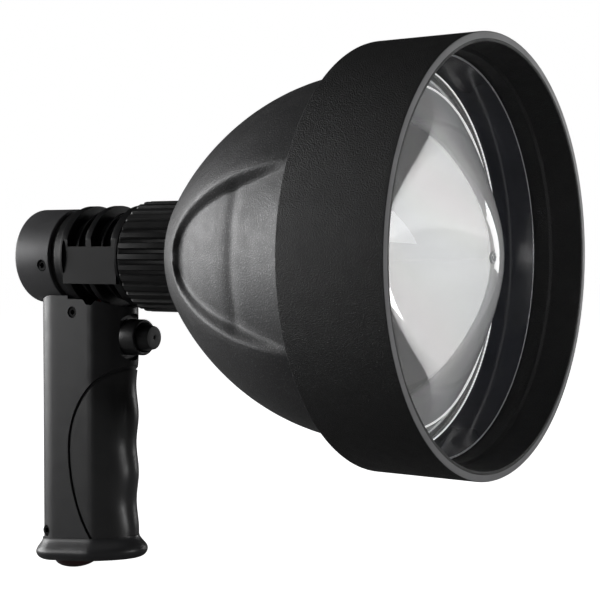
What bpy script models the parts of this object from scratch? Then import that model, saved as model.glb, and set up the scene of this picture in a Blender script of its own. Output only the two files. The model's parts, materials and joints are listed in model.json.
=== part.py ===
"""A handheld searchlight, modelled as the separate pieces that it is made of.

Metres, with +Z up. The origin is the centre of the rear cap's flat back, on the beam's
axis, and the beam leaves along -Y. "Forward" is the distance in front of the cap's back,
so a point's Y is minus its forward distance. "Depth" is the distance behind the hood's
front rim. The lamp's right side is at -X and its left side at +X.
"""

import math

import bmesh
import bpy
from mathutils import Matrix, Vector

# Clearances and counts
GAP = 0.0003
OVERRUN = 0.003
HEAD_SEGMENTS = 48
NECK_SEGMENTS = 40
SMALL_SEGMENTS = 24
SCREW_SEGMENTS = 18
SMOOTH_ANGLE = math.radians(32)

# The head: the hood, and the rings that hold the lens behind its step
HOOD_DEPTH = 0.043
HOOD_RADIUS = 0.0825
HOOD_DRAFT = 0.0007
HOOD_LIP = 0.0043
HOOD_EDGE = 0.0005
HOOD_MOUTH_TAPER = 0.0007
HOOD_STEP_DEPTH = 0.0125
HOOD_STEP = 0.001
HOOD_FLANGE = 0.002
BEZEL_DEPTH = 0.020
BEZEL_LENGTH = 0.016
BEZEL_FRONT_WIDTH = 0.001
BEZEL_REAR_WIDTH = 0.0024
GASKET_THICKNESS = 0.0008
GASKET_WIDTH = 0.0026

# The lens: a solid hyperboloid, nearly a cone, with a thin flange and a hollow back
LENS_TIP_DEPTH = 0.0012
LENS_SEAT = 0.0057
LENS_FLANGE = 0.0016
LENS_RIM = 0.0014
LENS_RIM_INSET = 0.0045
LENS_HOLLOW = 0.0045
LENS_HOLLOW_ROWS = 4
LENS_STEEPNESS = 3.0
LENS_ROW_SHARES = (0.12, 0.25, 0.4, 0.6, 0.8)
LAMP_DISTANCE = 0.068

# The head shell, whose radius falls off as a power of the distance behind the hood
SHELL_INSET = 0.01035
SHELL_REAR_DEPTH = 0.1315
SHELL_REAR_SHARE = 0.7832
SHELL_TAPER_POWER = 2.22
SHELL_WALL = 0.0022
SHELL_REAR_WALL = 0.0035
PANEL_DEPTH_START = 0.045
PANEL_SHARE = 0.8324
PANEL_HALF_SHARE = 0.504
PANEL_TIP = 0.002
PANEL_END_POWER = 1.5
PANEL_BANK = 0.0045
PANEL_SINK = 0.006
PANEL_FLATTENING = 0.32
PANEL_SINK_SHARES = (
    (0.0, 0.0),
    (0.07, 0.32),
    (0.21, 0.71),
    (0.44, 1.0),
    (0.56, 0.83),
    (0.69, 0.78),
    (0.83, 0.68),
    (0.94, 0.63),
    (1.0, 0.0),
)
PANEL_ROW_SHARES = (0.02, 0.07, 0.14, 0.21, 0.32, 0.44, 0.56, 0.69, 0.8, 0.88, 0.94, 0.97, 0.99)
PANEL_INNER_SHARES = (0.02, 0.07, 0.21, 0.44, 0.69, 0.83, 0.94, 1.0)
PANEL_COLUMN_SHARE = 0.5
TAIL_ROWS = 3
CROWN_COLUMNS = 12

# The neck: fixed sleeve, turning focus ring and sliding lamp core
SLEEVE_RADIUS = 0.018
SLEEVE_BORE = 0.0148
SLEEVE_SEAT = 0.0037
SLEEVE_FLANGE_RADIUS = 0.021
SLEEVE_FLANGE = 0.0025
RING_PLAY = 0.0008
RING_LENGTH = 0.0297
RING_RADIUS = 0.02335
RING_EDGE = 0.0008
RIB_COUNT = 32
RIB_DEPTH = 0.0012
RIB_TOP_SHARE = 0.45
RIB_FLANK_SHARE = 0.16
FOCUS_TRAVEL = 0.006
FOCUS_TURN = math.pi
POST_TAIL = 0.010
POST_SHOULDER_PAST_PIN = 0.0155
POST_NOSE_RADIUS = 0.0092
PIN_PAST_RING_REAR = 0.0167
PIN_RADIUS = 0.0015
PIN_FOOT = 0.012
PIN_TIP = 0.0197
GROOVE_STEPS = 30
GROOVE_END_ANGLE = math.radians(8)
BOARD_RADIUS = 0.0088
BOARD_THICKNESS = 0.0012
DOME_RADIUS = 0.0032

# The barrel: rear spigot, fins, core, side flats and rails, and the tang inside the grip
SPIGOT_REAR = 0.005
SPIGOT_RADIUS = 0.0175
BARREL_REAR = 0.0231
BARREL_FRONT = 0.0585
BARREL_BORE = 0.0152
CORE_RADIUS = 0.017
BAND_RADIUS = 0.0206
BAND_END = 0.0269
BAND_FLARE = 0.0006
FIN_RADIUS = 0.0217
FINS = ((BAND_END, 0.0307), (0.0407, 0.0437), (0.0545, BARREL_FRONT))
SLOT_RIB_RADIUS = 0.019
SLOT_RIB_THICKNESS = 0.0012
SLOT_RIBS = (0.0346, 0.0480)
FLAT_OFFSET = 0.0204
RAIL_TOP = 0.0042
RAIL_BOTTOM = 0.0115
TANG_FRONT = 0.0315
TANG_BOTTOM = 0.030
TANG_HALF_WIDTH = 0.0085
LEAD_FORWARD = 0.0333
LEAD_SPACING = 0.006
LEAD_RADIUS = 0.0009
LEAD_TOP = 0.013

# The rear cap and its seal
CAP_LENGTH = 0.0196
CAP_RADIUS = 0.0205
CAP_FLOOR = 0.003
CAP_ROUNDING = 0.0012
SEAL_THICKNESS = 0.0012
SEAL_BEVEL = 0.0003

# The drive circuit
DRIVER_FORWARD = 0.030
DRIVER_THICKNESS = 0.0016
COIL_RADIUS = 0.004
COIL_LENGTH = 0.006
COIL_OFFSET = 0.0055
CHIP_SIZE = 0.006
CHIP_THICKNESS = 0.0015

# The grip: round at the back, flat at the sides, and a nose that turns in from two corners
GRIP_HALF_WIDTH = 0.0121
GRIP_REAR_CENTRE = 0.0143
GRIP_FLAT_END = 0.036
GRIP_FRONT = 0.0502
NOSE_SHARES = (
    (0.0, 1.0),
    (0.20, 0.97),
    (0.37, 0.90),
    (0.54, 0.78),
    (0.69, 0.62),
    (0.80, 0.45),
    (0.905, 0.25),
    (0.975, 0.10),
    (1.0, 0.0),
)
GRIP_TOP = 0.016
CAVITY_HALF_WIDTH = 0.0094
CELL_REAR_FORWARD = 0.0138
CELL_FRONT_FORWARD = 0.0325
GRIP_TAIL_STEPS = 8
FINGER_START = 0.0432
FINGER_PITCH = 0.025
FINGER_COUNT = 3
FINGER_DEPTH = 0.0015
FINGER_ROWS = 6
INSERT_REACH = 0.0377
INSERT_TO_SEAT = 0.0007
INSERT_FALL = 0.052
INSERT_FORWARD = 0.0605
INSERT_DROP = 0.083
INSERT_SKIN = 0.0008
POCKET_CENTRES = (0.035, 0.049)
POCKET_DROP = 0.0207
POCKET_TOP = 0.0150
POCKET_HALF_TOP = 0.0065
POCKET_HALF_BOTTOM = 0.0014

# The foot, which slopes up to the front
FOOT_SLOPE = math.radians(5)
FOOT_DROP = 0.1326
FOOT_FRONT = 0.0515
FOOT_UNDERCUT = 0.001
BEAD_HEIGHT = 0.0096
BEAD_WIDEST = 0.0036
BEAD_BULGE = 0.0034
BEAD_STEPS = 6
BOSS_HALF_WIDTH = 0.0091
BOSS_TOP = 0.1165
SOCKET_FORWARD = 0.0027
SOCKET_RADIUS = 0.006
SOCKET_LOW = 0.0012
SOCKET_HIGH = 0.0135
SOCKET_HOLE = 0.0034
SOCKET_HOLE_TOP = 0.010
PLUG_RADIUS = 0.00935
PLUG_DOME = 0.0042
PLUG_STEM = 0.0085
DOME_STEPS = 5

# The cells and their contacts
CELL_RADIUS = 0.0091
CELL_TOP = 0.0425
CELL_BOTTOM = 0.1075
NUB_RADIUS = 0.003
NUB_HEIGHT = 0.001
PLATE_THICKNESS = 0.0014
SPRING_RADIUS = 0.005
SPRING_WIRE = 0.0005
SPRING_TURNS = 4

# Side screws, each in a wider hole for its head
HEAD_RADIUS = 0.0022
HEAD_LENGTH = 0.0019
SHANK_RADIUS = 0.0012
SHANK_LENGTH = 0.0045
HEX_RADIUS = 0.0012
HEX_DEPTH = 0.001
SCREW_RECESS = 0.0004
CAP_SCREW = (0.0156, -0.0039)
GRIP_SCREW = (0.0256, -0.024)
FOOT_SCREW = (0.0093, -0.120)

# The switch, its collar and its button
BUTTON_DROP = 0.0345
SEAT_FORWARD = 0.0475
SEAT_RADIUS = 0.0084
SEAT_RISE = 0.0017
COLLAR_RADIUS = 0.0077
COLLAR_FRONT = 0.0558
COLLAR_EDGE = 0.0006
COLLAR_SHANK_RADIUS = 0.006
COLLAR_SHANK_REAR = 0.0426
COLLAR_WEB_FRONT = 0.0505
BUTTON_RADIUS = 0.006
BUTTON_FACE_RADIUS = 0.0049
BUTTON_FACE = 0.061
BUTTON_EDGE = 0.0003
BUTTON_SKIRT_REAR = 0.0536
BUTTON_SKIRT_BORE = 0.0048
BUTTON_ROOF = 0.0585
STEM_RADIUS = 0.0025
STEM_REAR = 0.0440
RETURN_RADIUS = 0.0037
RETURN_WIRE = 0.0004
RETURN_TURNS = 4
SWITCH_REAR = 0.0346
SWITCH_FRONT = 0.0409
SWITCH_HALF_WIDTH = 0.0033
SWITCH_TOP = 0.030
COIL_POINTS = 8


for leftover in list(bpy.data.objects):
    bpy.data.objects.remove(leftover)


def material(name, color, roughness, metallic=0.0, transmission=0.0):
    made = bpy.data.materials.new(name)
    made.use_nodes = True
    shader = made.node_tree.nodes["Principled BSDF"]
    shader.inputs["Base Color"].default_value = (*color, 1.0)
    shader.inputs["Roughness"].default_value = roughness
    shader.inputs["Metallic"].default_value = metallic
    shader.inputs["Transmission Weight"].default_value = transmission
    return made


HOOD_RUBBER = material("hood_rubber", (0.010, 0.010, 0.010), 0.62)
BEZEL_PLASTIC = material("bezel_plastic", (0.010, 0.010, 0.012), 0.12)
CLEAR_LENS = material("clear_lens", (0.95, 0.96, 0.97), 0.03, 0.0, 1.0)
SEAL_RUBBER = material("seal_rubber", (0.008, 0.008, 0.008), 0.7)
HEAD_PLASTIC = material("head_plastic", (0.045, 0.045, 0.047), 0.5)
RING_PLASTIC = material("ring_plastic", (0.022, 0.022, 0.023), 0.5)
BARREL_PAINT = material("barrel_paint", (0.028, 0.028, 0.030), 0.45)
CAP_PAINT = material("cap_paint", (0.035, 0.035, 0.037), 0.45)
CORE_METAL = material("core_metal", (0.6, 0.6, 0.62), 0.35, 1.0)
SCREW_STEEL = material("screw_steel", (0.03, 0.03, 0.03), 0.4, 1.0)
BOARD_LAMINATE = material("board_laminate", (0.02, 0.12, 0.05), 0.5)
LAMP_CAP = material("lamp_cap", (0.9, 0.8, 0.35), 0.1, 0.0, 0.5)
CHIP_BLACK = material("chip_black", (0.01, 0.01, 0.01), 0.4)
COPPER = material("copper", (0.7, 0.32, 0.18), 0.35, 1.0)
GRIP_PLASTIC = material("grip_plastic", (0.028, 0.028, 0.030), 0.45)
GRIP_RUBBER = material("grip_rubber", (0.018, 0.018, 0.019), 0.55)
BUTTON_RUBBER = material("button_rubber", (0.012, 0.012, 0.012), 0.5)
COLLAR_PLASTIC = material("collar_plastic", (0.02, 0.02, 0.02), 0.4)
PLUG_RUBBER = material("plug_rubber", (0.016, 0.009, 0.009), 0.55)
CELL_WRAP = material("cell_wrap", (0.05, 0.15, 0.35), 0.35)
CONTACT_METAL = material("contact_metal", (0.75, 0.72, 0.65), 0.3, 1.0)
SPRING_STEEL = material("spring_steel", (0.6, 0.6, 0.6), 0.3, 1.0)
LEAD_SLEEVE = material("lead_sleeve", (0.3, 0.01, 0.01), 0.5)


def add(name, made, finish=None):
    """Adds a bmesh as an object, closed and facing out; without a finish it is a cutter."""
    bmesh.ops.recalc_face_normals(made, faces=made.faces)
    mesh = bpy.data.meshes.new(name)
    made.to_mesh(mesh)
    made.free()
    obj = bpy.data.objects.new(name, mesh)
    bpy.context.scene.collection.objects.link(obj)
    mesh.shade_smooth()
    mesh.set_sharp_from_angle(angle=SMOOTH_ANGLE)
    if finish is None:
        obj.hide_render = True
        obj.display_type = "WIRE"
    else:
        mesh.materials.append(finish)
    return obj


def boolean(obj, other, operation="DIFFERENCE"):
    """Adds an exact Boolean, and makes sure that the other object is left out as a cutter."""
    step = obj.modifiers.new(operation.lower(), "BOOLEAN")
    step.operation = operation
    step.solver = "EXACT"
    step.object = other
    other.hide_render = True
    other.display_type = "WIRE"
    other.name = f"{other.name}_cutter" if not other.name.endswith("_cutter") else other.name


def bridge(made, rings, closed):
    """Joins rings of vertices in turn; the last joins the first, or both ends are capped."""
    count = len(rings[0])
    pairs = list(zip(rings, rings[1:]))
    if closed:
        pairs.append((rings[-1], rings[0]))
    for low, high in pairs:
        for i in range(count):
            j = (i + 1) % count
            made.faces.new((low[i], low[j], high[j], high[i]))
    if not closed:
        made.faces.new(rings[0])
        made.faces.new(rings[-1])


def loft(name, rings, finish=None, closed=False):
    made = bmesh.new()
    bridge(made, [[made.verts.new(point) for point in ring] for ring in rings], closed)
    return add(name, made, finish)


def on_axis(along, x, across, upright):
    """A point beside a line along Y, counted forwards, or beside one along Z, upwards."""
    return (x, across, along) if upright else (x, -along, across)


def lathe(name, profile, segments, finish=None, centre=(0.0, 0.0), upright=False):
    """Turns (along, radius) points about a line along Y, or along Z if upright.

    A profile that starts and ends on the line is closed by it; any other closes on itself.
    """
    made = bmesh.new()
    rings = []
    for along, radius in profile:
        if radius == 0:
            rings.append(made.verts.new(on_axis(along, *centre, upright)))
            continue
        ring = []
        for i in range(segments):
            turn = math.tau * i / segments
            x = centre[0] + radius * math.cos(turn)
            across = centre[1] + radius * math.sin(turn)
            ring.append(made.verts.new(on_axis(along, x, across, upright)))
        rings.append(ring)
    pairs = list(zip(rings, rings[1:]))
    if isinstance(rings[0], list):
        pairs.append((rings[-1], rings[0]))
    for low, high in pairs:
        for i in range(segments):
            j = (i + 1) % segments
            if not isinstance(low, list):
                made.faces.new((low, high[j], high[i]))
            elif not isinstance(high, list):
                made.faces.new((low[i], low[j], high))
            else:
                made.faces.new((low[i], low[j], high[j], high[i]))
    return add(name, made, finish)


def box(name, low, high, finish=None):
    made = bmesh.new()
    size = [high[i] - low[i] for i in range(3)]
    centre = [(high[i] + low[i]) / 2 for i in range(3)]
    place = Matrix.Translation(centre) @ Matrix.Diagonal((*size, 1.0))
    bmesh.ops.create_cube(made, size=1.0, matrix=place)
    return add(name, made, finish)


def drill(name, start, end, radius, segments=SMALL_SEGMENTS, finish=None):
    """A cylinder between two points."""
    made = bmesh.new()
    line = Vector(end) - Vector(start)
    turn = line.to_track_quat("Z", "Y").to_matrix().to_4x4()
    place = Matrix.Translation((Vector(start) + Vector(end)) / 2) @ turn
    bmesh.ops.create_cone(
        made,
        cap_ends=True,
        segments=segments,
        radius1=radius,
        radius2=radius,
        depth=line.length,
        matrix=place,
    )
    return add(name, made, finish)


def coil(name, centre, axis, radius, wire, turns, start, end, finish):
    """A spring along Y or Z, as one tube with filled ends."""
    curve = bpy.data.curves.new(name, "CURVE")
    curve.dimensions = "3D"
    curve.bevel_depth = wire
    curve.bevel_resolution = 1
    curve.use_fill_caps = True
    count = turns * COIL_POINTS
    spline = curve.splines.new("POLY")
    spline.points.add(count)
    for i, point in enumerate(spline.points):
        angle = math.tau * i / COIL_POINTS
        along = start + (end - start) * i / count
        across = (radius * math.cos(angle), radius * math.sin(angle))
        if axis == "Y":
            place = (centre[0] + across[0], along, centre[1] + across[1])
        else:
            place = (centre[0] + across[0], centre[1] + across[1], along)
        point.co = (*place, 1.0)
    curve.materials.append(finish)
    obj = bpy.data.objects.new(name, curve)
    bpy.context.scene.collection.objects.link(obj)
    return obj


def rounded_back(half_width, rear_centre, z):
    ring = []
    for i in range(GRIP_TAIL_STEPS + 1):
        turn = math.pi * (1 / 2 - i / GRIP_TAIL_STEPS)
        forward = rear_centre - half_width * math.cos(turn)
        ring.append((half_width * math.sin(turn), -forward, z))
    return ring


def stadium(half_width, rear_centre, front_centre, z=0.0):
    """A section at a height, with round ends about two centres."""
    ring = rounded_back(half_width, rear_centre, z)
    return ring + [(-x, -front_centre - rear_centre - y, z) for x, y, z in ring]


def grip_section(half_width, rear_centre, flat_end, front, z=0.0):
    """A section at a height: a round back, flat sides, and the grip's nose."""
    nose = [(half_width * across, -flat_end - (front - flat_end) * along) for across, along in NOSE_SHARES]
    ring = [(-x, y, z) for x, y in reversed(nose)]
    ring += [(x, y, z) for x, y in nose[1:]]
    return ring + rounded_back(half_width, rear_centre, z)


# Places that follow from the sizes above
RING_REAR = BARREL_FRONT + RING_PLAY
RING_FRONT = RING_REAR + RING_LENGTH
LENGTH = RING_FRONT + RING_PLAY + SHELL_REAR_DEPTH
HOOD_SOCKET = HOOD_RADIUS - HOOD_LIP - HOOD_MOUTH_TAPER - HOOD_STEP
STACK_RADIUS = HOOD_SOCKET - GAP
LENS_RADIUS = STACK_RADIUS - LENS_SEAT
SHELL_RADIUS = HOOD_RADIUS - HOOD_DRAFT - SHELL_INSET
SHELL_TAPER_LENGTH = (SHELL_REAR_DEPTH - HOOD_DEPTH) / SHELL_REAR_SHARE
PANEL_LENGTH = (SHELL_REAR_DEPTH - PANEL_DEPTH_START) * PANEL_SHARE
PANEL_HALF_HEIGHT = SHELL_RADIUS * PANEL_HALF_SHARE
PIN_FORWARD = RING_REAR + PIN_PAST_RING_REAR
POST_REAR = PIN_FORWARD - POST_TAIL
POST_SHOULDER = PIN_FORWARD + POST_SHOULDER_PAST_PIN
LENS_DEPTH = BEZEL_DEPTH + BEZEL_LENGTH + GAP
GASKET_DEPTH = LENS_DEPTH + LENS_FLANGE + GAP
SHELL_FRONT_DEPTH = GASKET_DEPTH + GASKET_THICKNESS + GAP
FOCUS_FORWARD = LENGTH - LENS_DEPTH - LENS_FLANGE - LAMP_DISTANCE
INSERT_RISE = INSERT_DROP - BUTTON_DROP - SEAT_RISE - SEAT_RADIUS - INSERT_TO_SEAT
SHELL_FLOOR = LENGTH - SHELL_REAR_DEPTH + SHELL_REAR_WALL
SLEEVE_REAR = BARREL_FRONT - SLEEVE_SEAT
POST_RADIUS = SLEEVE_BORE - GAP
DOME_BASE = FOCUS_FORWARD - DOME_RADIUS / 2
BOARD_REAR = DOME_BASE - GAP - BOARD_THICKNESS
POST_FRONT = BOARD_REAR - GAP
SPRING_LOW = BOSS_TOP - GAP - PLATE_THICKNESS - GAP
PLATE_LOW = CELL_TOP - NUB_HEIGHT - GAP


def hood():
    profile = [
        (LENGTH, HOOD_RADIUS - HOOD_EDGE),
        (LENGTH - HOOD_EDGE, HOOD_RADIUS),
        (LENGTH - HOOD_DEPTH + HOOD_EDGE, HOOD_RADIUS - HOOD_DRAFT),
        (LENGTH - HOOD_DEPTH, HOOD_RADIUS - HOOD_DRAFT - HOOD_EDGE),
        (LENGTH - HOOD_DEPTH, SHELL_RADIUS + GAP),
        (LENGTH - HOOD_DEPTH + HOOD_FLANGE, SHELL_RADIUS + GAP),
        (LENGTH - HOOD_DEPTH + HOOD_FLANGE, HOOD_SOCKET),
        (LENGTH - HOOD_STEP_DEPTH - HOOD_STEP, HOOD_SOCKET),
        (LENGTH - HOOD_STEP_DEPTH, HOOD_SOCKET + HOOD_STEP),
        (LENGTH, HOOD_RADIUS - HOOD_LIP),
    ]
    lathe("bumper_hood", profile, HEAD_SEGMENTS, HOOD_RUBBER)


def lens_depth(share):
    """How deep the lens's front lies at a share of its radius."""
    rise = math.sqrt(1 + (LENS_STEEPNESS * share) ** 2) - 1
    return LENS_TIP_DEPTH + (LENS_DEPTH - LENS_TIP_DEPTH) * rise / (math.sqrt(1 + LENS_STEEPNESS**2) - 1)


def lens_stack():
    front = LENGTH - BEZEL_DEPTH
    back = front - BEZEL_LENGTH
    profile = [
        (front, STACK_RADIUS - BEZEL_FRONT_WIDTH),
        (front, STACK_RADIUS),
        (back, STACK_RADIUS),
        (back, STACK_RADIUS - BEZEL_REAR_WIDTH),
    ]
    lathe("lens_bezel", profile, HEAD_SEGMENTS, BEZEL_PLASTIC)

    profile = [(LENGTH - LENS_TIP_DEPTH, 0.0)]
    for share in (*LENS_ROW_SHARES, 1.0):
        profile.append((LENGTH - lens_depth(share), share * LENS_RADIUS))
    back = LENGTH - LENS_DEPTH - LENS_FLANGE
    rim = LENS_RADIUS - LENS_RIM_INSET
    profile += [(LENGTH - LENS_DEPTH, STACK_RADIUS), (back, STACK_RADIUS), (back, rim)]
    for i in range(LENS_HOLLOW_ROWS + 1):
        share = 1 - i / LENS_HOLLOW_ROWS
        profile.append((back - LENS_RIM + LENS_HOLLOW * (1 - share**2), rim * share))
    lathe("lens", profile, HEAD_SEGMENTS, CLEAR_LENS)

    front = LENGTH - GASKET_DEPTH
    back = front - GASKET_THICKNESS
    inner = STACK_RADIUS - GASKET_WIDTH
    profile = [(front, inner), (front, STACK_RADIUS), (back, STACK_RADIUS), (back, inner)]
    lathe("lens_gasket", profile, HEAD_SEGMENTS, SEAL_RUBBER)


def shell_radius(depth):
    share = max(0.0, depth - HOOD_DEPTH) / SHELL_TAPER_LENGTH
    return SHELL_RADIUS * (1 - share**SHELL_TAPER_POWER)


def panel_half_height(depth):
    share = min(1.0, max(0.0, (depth - PANEL_DEPTH_START) / PANEL_LENGTH))
    return max(PANEL_TIP, PANEL_HALF_HEIGHT * math.sqrt(1 - share**PANEL_END_POWER))


def panel_sink(depth, height):
    """How far the side panel's surface lies inside the bowl, at a depth and a height."""
    share = (depth - PANEL_DEPTH_START) / PANEL_LENGTH
    half = panel_half_height(depth)
    if not 0 < share < 1 or abs(height) >= half:
        return 0.0
    sink = 0.0
    for (low, low_sink), (high, high_sink) in zip(PANEL_SINK_SHARES, PANEL_SINK_SHARES[1:]):
        if low <= share <= high:
            sink = low_sink + (high_sink - low_sink) * (share - low) / (high - low)
    bank = min(1.0, (half - abs(height)) / PANEL_BANK)
    return PANEL_SINK * sink * bank * (1 - PANEL_FLATTENING * (height / half) ** 2)


def shell_columns(depth):
    """Angles round the beam whose columns follow the edge and the foot of both panels."""
    half = panel_half_height(depth)
    foot = max(half - PANEL_BANK, half * PANEL_COLUMN_SHARE)
    heights = (-half, -foot, -foot * PANEL_COLUMN_SHARE, 0.0, foot * PANEL_COLUMN_SHARE, foot, half)
    side = [(math.asin(height / shell_radius(depth)), height) for height in heights]
    edge = side[-1][0]
    crown = [edge + (math.pi - 2 * edge) * i / CROWN_COLUMNS for i in range(1, CROWN_COLUMNS)]
    columns = side + [(angle, half) for angle in crown]
    columns += [(math.pi - angle, height) for angle, height in reversed(side)]
    columns += [(angle + math.pi, half) for angle in crown]
    return columns


def shell_ring(depth, forward, radius, sunk):
    ring = []
    for angle, height in shell_columns(depth):
        across = radius - (panel_sink(depth, height) if sunk else 0.0)
        ring.append((across * math.cos(angle), -forward, across * math.sin(angle)))
    return ring


def inner_shell_ring(depth):
    """A ring of the shell's inside, one wall in from the outside along the bowl's normal."""
    share = (depth - HOOD_DEPTH) / SHELL_TAPER_LENGTH
    slope = SHELL_RADIUS * SHELL_TAPER_POWER / SHELL_TAPER_LENGTH * share ** (SHELL_TAPER_POWER - 1)
    across = SHELL_WALL / math.hypot(1, slope)
    return shell_ring(depth, LENGTH - depth + across * slope, shell_radius(depth) - across, True)


def head_shell():
    panel_end = PANEL_DEPTH_START + PANEL_LENGTH
    tail = [panel_end + (SHELL_REAR_DEPTH - panel_end) * i / TAIL_ROWS for i in range(TAIL_ROWS + 1)]
    panel = [PANEL_DEPTH_START + PANEL_LENGTH * share for share in PANEL_ROW_SHARES]
    inner = [PANEL_DEPTH_START + PANEL_LENGTH * share for share in PANEL_INNER_SHARES]
    inner += [tail[TAIL_ROWS // 2], SHELL_REAR_DEPTH - SHELL_WALL]
    bore = SLEEVE_RADIUS + GAP
    neck_depth = HOOD_DEPTH - HOOD_FLANGE - GAP
    rear = SHELL_REAR_DEPTH
    rings = [shell_ring(depth, LENGTH - depth, shell_radius(depth), True) for depth in reversed(tail)]
    rings += [shell_ring(depth, LENGTH - depth, shell_radius(depth), True) for depth in reversed(panel)]
    rings.append(shell_ring(HOOD_DEPTH, LENGTH - PANEL_DEPTH_START, SHELL_RADIUS, False))
    rings.append(shell_ring(HOOD_DEPTH, LENGTH - neck_depth, SHELL_RADIUS, False))
    rings.append(shell_ring(HOOD_DEPTH, LENGTH - neck_depth, STACK_RADIUS, False))
    rings.append(shell_ring(HOOD_DEPTH, LENGTH - SHELL_FRONT_DEPTH, STACK_RADIUS, False))
    rings.append(shell_ring(HOOD_DEPTH, LENGTH - SHELL_FRONT_DEPTH, SHELL_RADIUS - SHELL_WALL, False))
    rings += [inner_shell_ring(depth) for depth in inner]
    rings.append(shell_ring(rear, SHELL_FLOOR, shell_radius(rear) - SHELL_WALL / 2, False))
    rings.append(shell_ring(rear, SHELL_FLOOR, bore, False))
    rings.append(shell_ring(rear, LENGTH - rear, bore, False))
    loft("head_shell", rings, HEAD_PLASTIC, closed=True)


def groove_forward(angle):
    """Where the ring's spiral groove meets an angle, measured from the top about +Y."""
    return PIN_FORWARD - FOCUS_TRAVEL * angle / FOCUS_TURN


def focus_ring():
    """The ribbed ring; the pin's spiral groove runs inside it, backwards from the top."""
    bore = SLEEVE_RADIUS + GAP
    valley = RING_RADIUS - RIB_DEPTH
    half_top = RIB_TOP_SHARE / 2
    half_foot = half_top + RIB_FLANK_SHARE
    outline = ((-half_foot, valley), (-half_top, RING_RADIUS), (half_top, RING_RADIUS), (half_foot, valley))
    sections = (
        (RING_REAR, bore, bore),
        (RING_REAR, valley, valley),
        (RING_REAR + RING_EDGE, valley, RING_RADIUS),
        (RING_FRONT - RING_EDGE, valley, RING_RADIUS),
        (RING_FRONT, valley, valley),
        (RING_FRONT, bore, bore),
    )
    rings = []
    for forward, low, high in sections:
        ring = []
        for rib in range(RIB_COUNT):
            for share, radius in outline:
                turn = math.tau * (rib + share) / RIB_COUNT
                across = high if radius == RING_RADIUS else low
                ring.append((across * math.cos(turn), -forward, across * math.sin(turn)))
        rings.append(ring)
    body = loft("focus_ring", rings, RING_PLASTIC, closed=True)
    half = PIN_RADIUS + GAP
    deep = PIN_TIP + GAP
    shallow = bore - GAP
    rings = []
    for i in range(GROOVE_STEPS + 1):
        angle = GROOVE_END_ANGLE - (FOCUS_TURN + 2 * GROOVE_END_ANGLE) * i / GROOVE_STEPS
        middle = groove_forward(angle)
        ring = []
        for side, radius in ((-half, shallow), (half, shallow), (half, deep), (-half, deep)):
            ring.append((radius * math.sin(angle), -middle - side, radius * math.cos(angle)))
        rings.append(ring)
    boolean(body, loft("groove", rings))


def neck_sleeve():
    flange = SHELL_FLOOR + GAP
    front = flange + SLEEVE_FLANGE
    profile = [
        (SLEEVE_REAR, SLEEVE_BORE),
        (SLEEVE_REAR, SLEEVE_RADIUS),
        (flange, SLEEVE_RADIUS),
        (flange, SLEEVE_FLANGE_RADIUS),
        (front, SLEEVE_FLANGE_RADIUS),
        (front, SLEEVE_BORE),
    ]
    sleeve = lathe("neck_sleeve", profile, NECK_SEGMENTS, CORE_METAL)
    half = PIN_RADIUS + GAP
    low = (-half, -PIN_FORWARD - FOCUS_TRAVEL - half, SLEEVE_BORE / 2)
    high = (half, -PIN_FORWARD + half, SLEEVE_RADIUS + OVERRUN)
    boolean(sleeve, box("pin_slot", low, high))


def lamp_core():
    profile = [
        (POST_REAR, 0.0),
        (POST_REAR, POST_RADIUS),
        (POST_SHOULDER, POST_RADIUS),
        (POST_SHOULDER, POST_NOSE_RADIUS),
        (POST_FRONT, POST_NOSE_RADIUS),
        (POST_FRONT, 0.0),
    ]
    post = lathe("led_post", profile, NECK_SEGMENTS, CORE_METAL)
    foot = (0.0, -PIN_FORWARD, PIN_FOOT)
    tip = (0.0, -PIN_FORWARD, PIN_TIP)
    low = (0.0, -PIN_FORWARD, PIN_FOOT - GAP)
    high = (0.0, -PIN_FORWARD, SLEEVE_RADIUS)
    boolean(post, drill("pin_hole", low, high, PIN_RADIUS + GAP))
    drill("focus_pin", foot, tip, PIN_RADIUS, finish=SCREW_STEEL)
    front = BOARD_REAR + BOARD_THICKNESS
    profile = [(BOARD_REAR, 0.0), (BOARD_REAR, BOARD_RADIUS), (front, BOARD_RADIUS), (front, 0.0)]
    lathe("led_board", profile, NECK_SEGMENTS, BOARD_LAMINATE)
    profile = [(DOME_BASE, 0.0)]
    for i in range(DOME_STEPS):
        turn = math.pi / 2 * i / DOME_STEPS
        profile.append((DOME_BASE + DOME_RADIUS * math.sin(turn), DOME_RADIUS * math.cos(turn)))
    profile.append((DOME_BASE + DOME_RADIUS, 0.0))
    lathe("led_dome", profile, SMALL_SEGMENTS, LAMP_CAP)


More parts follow.
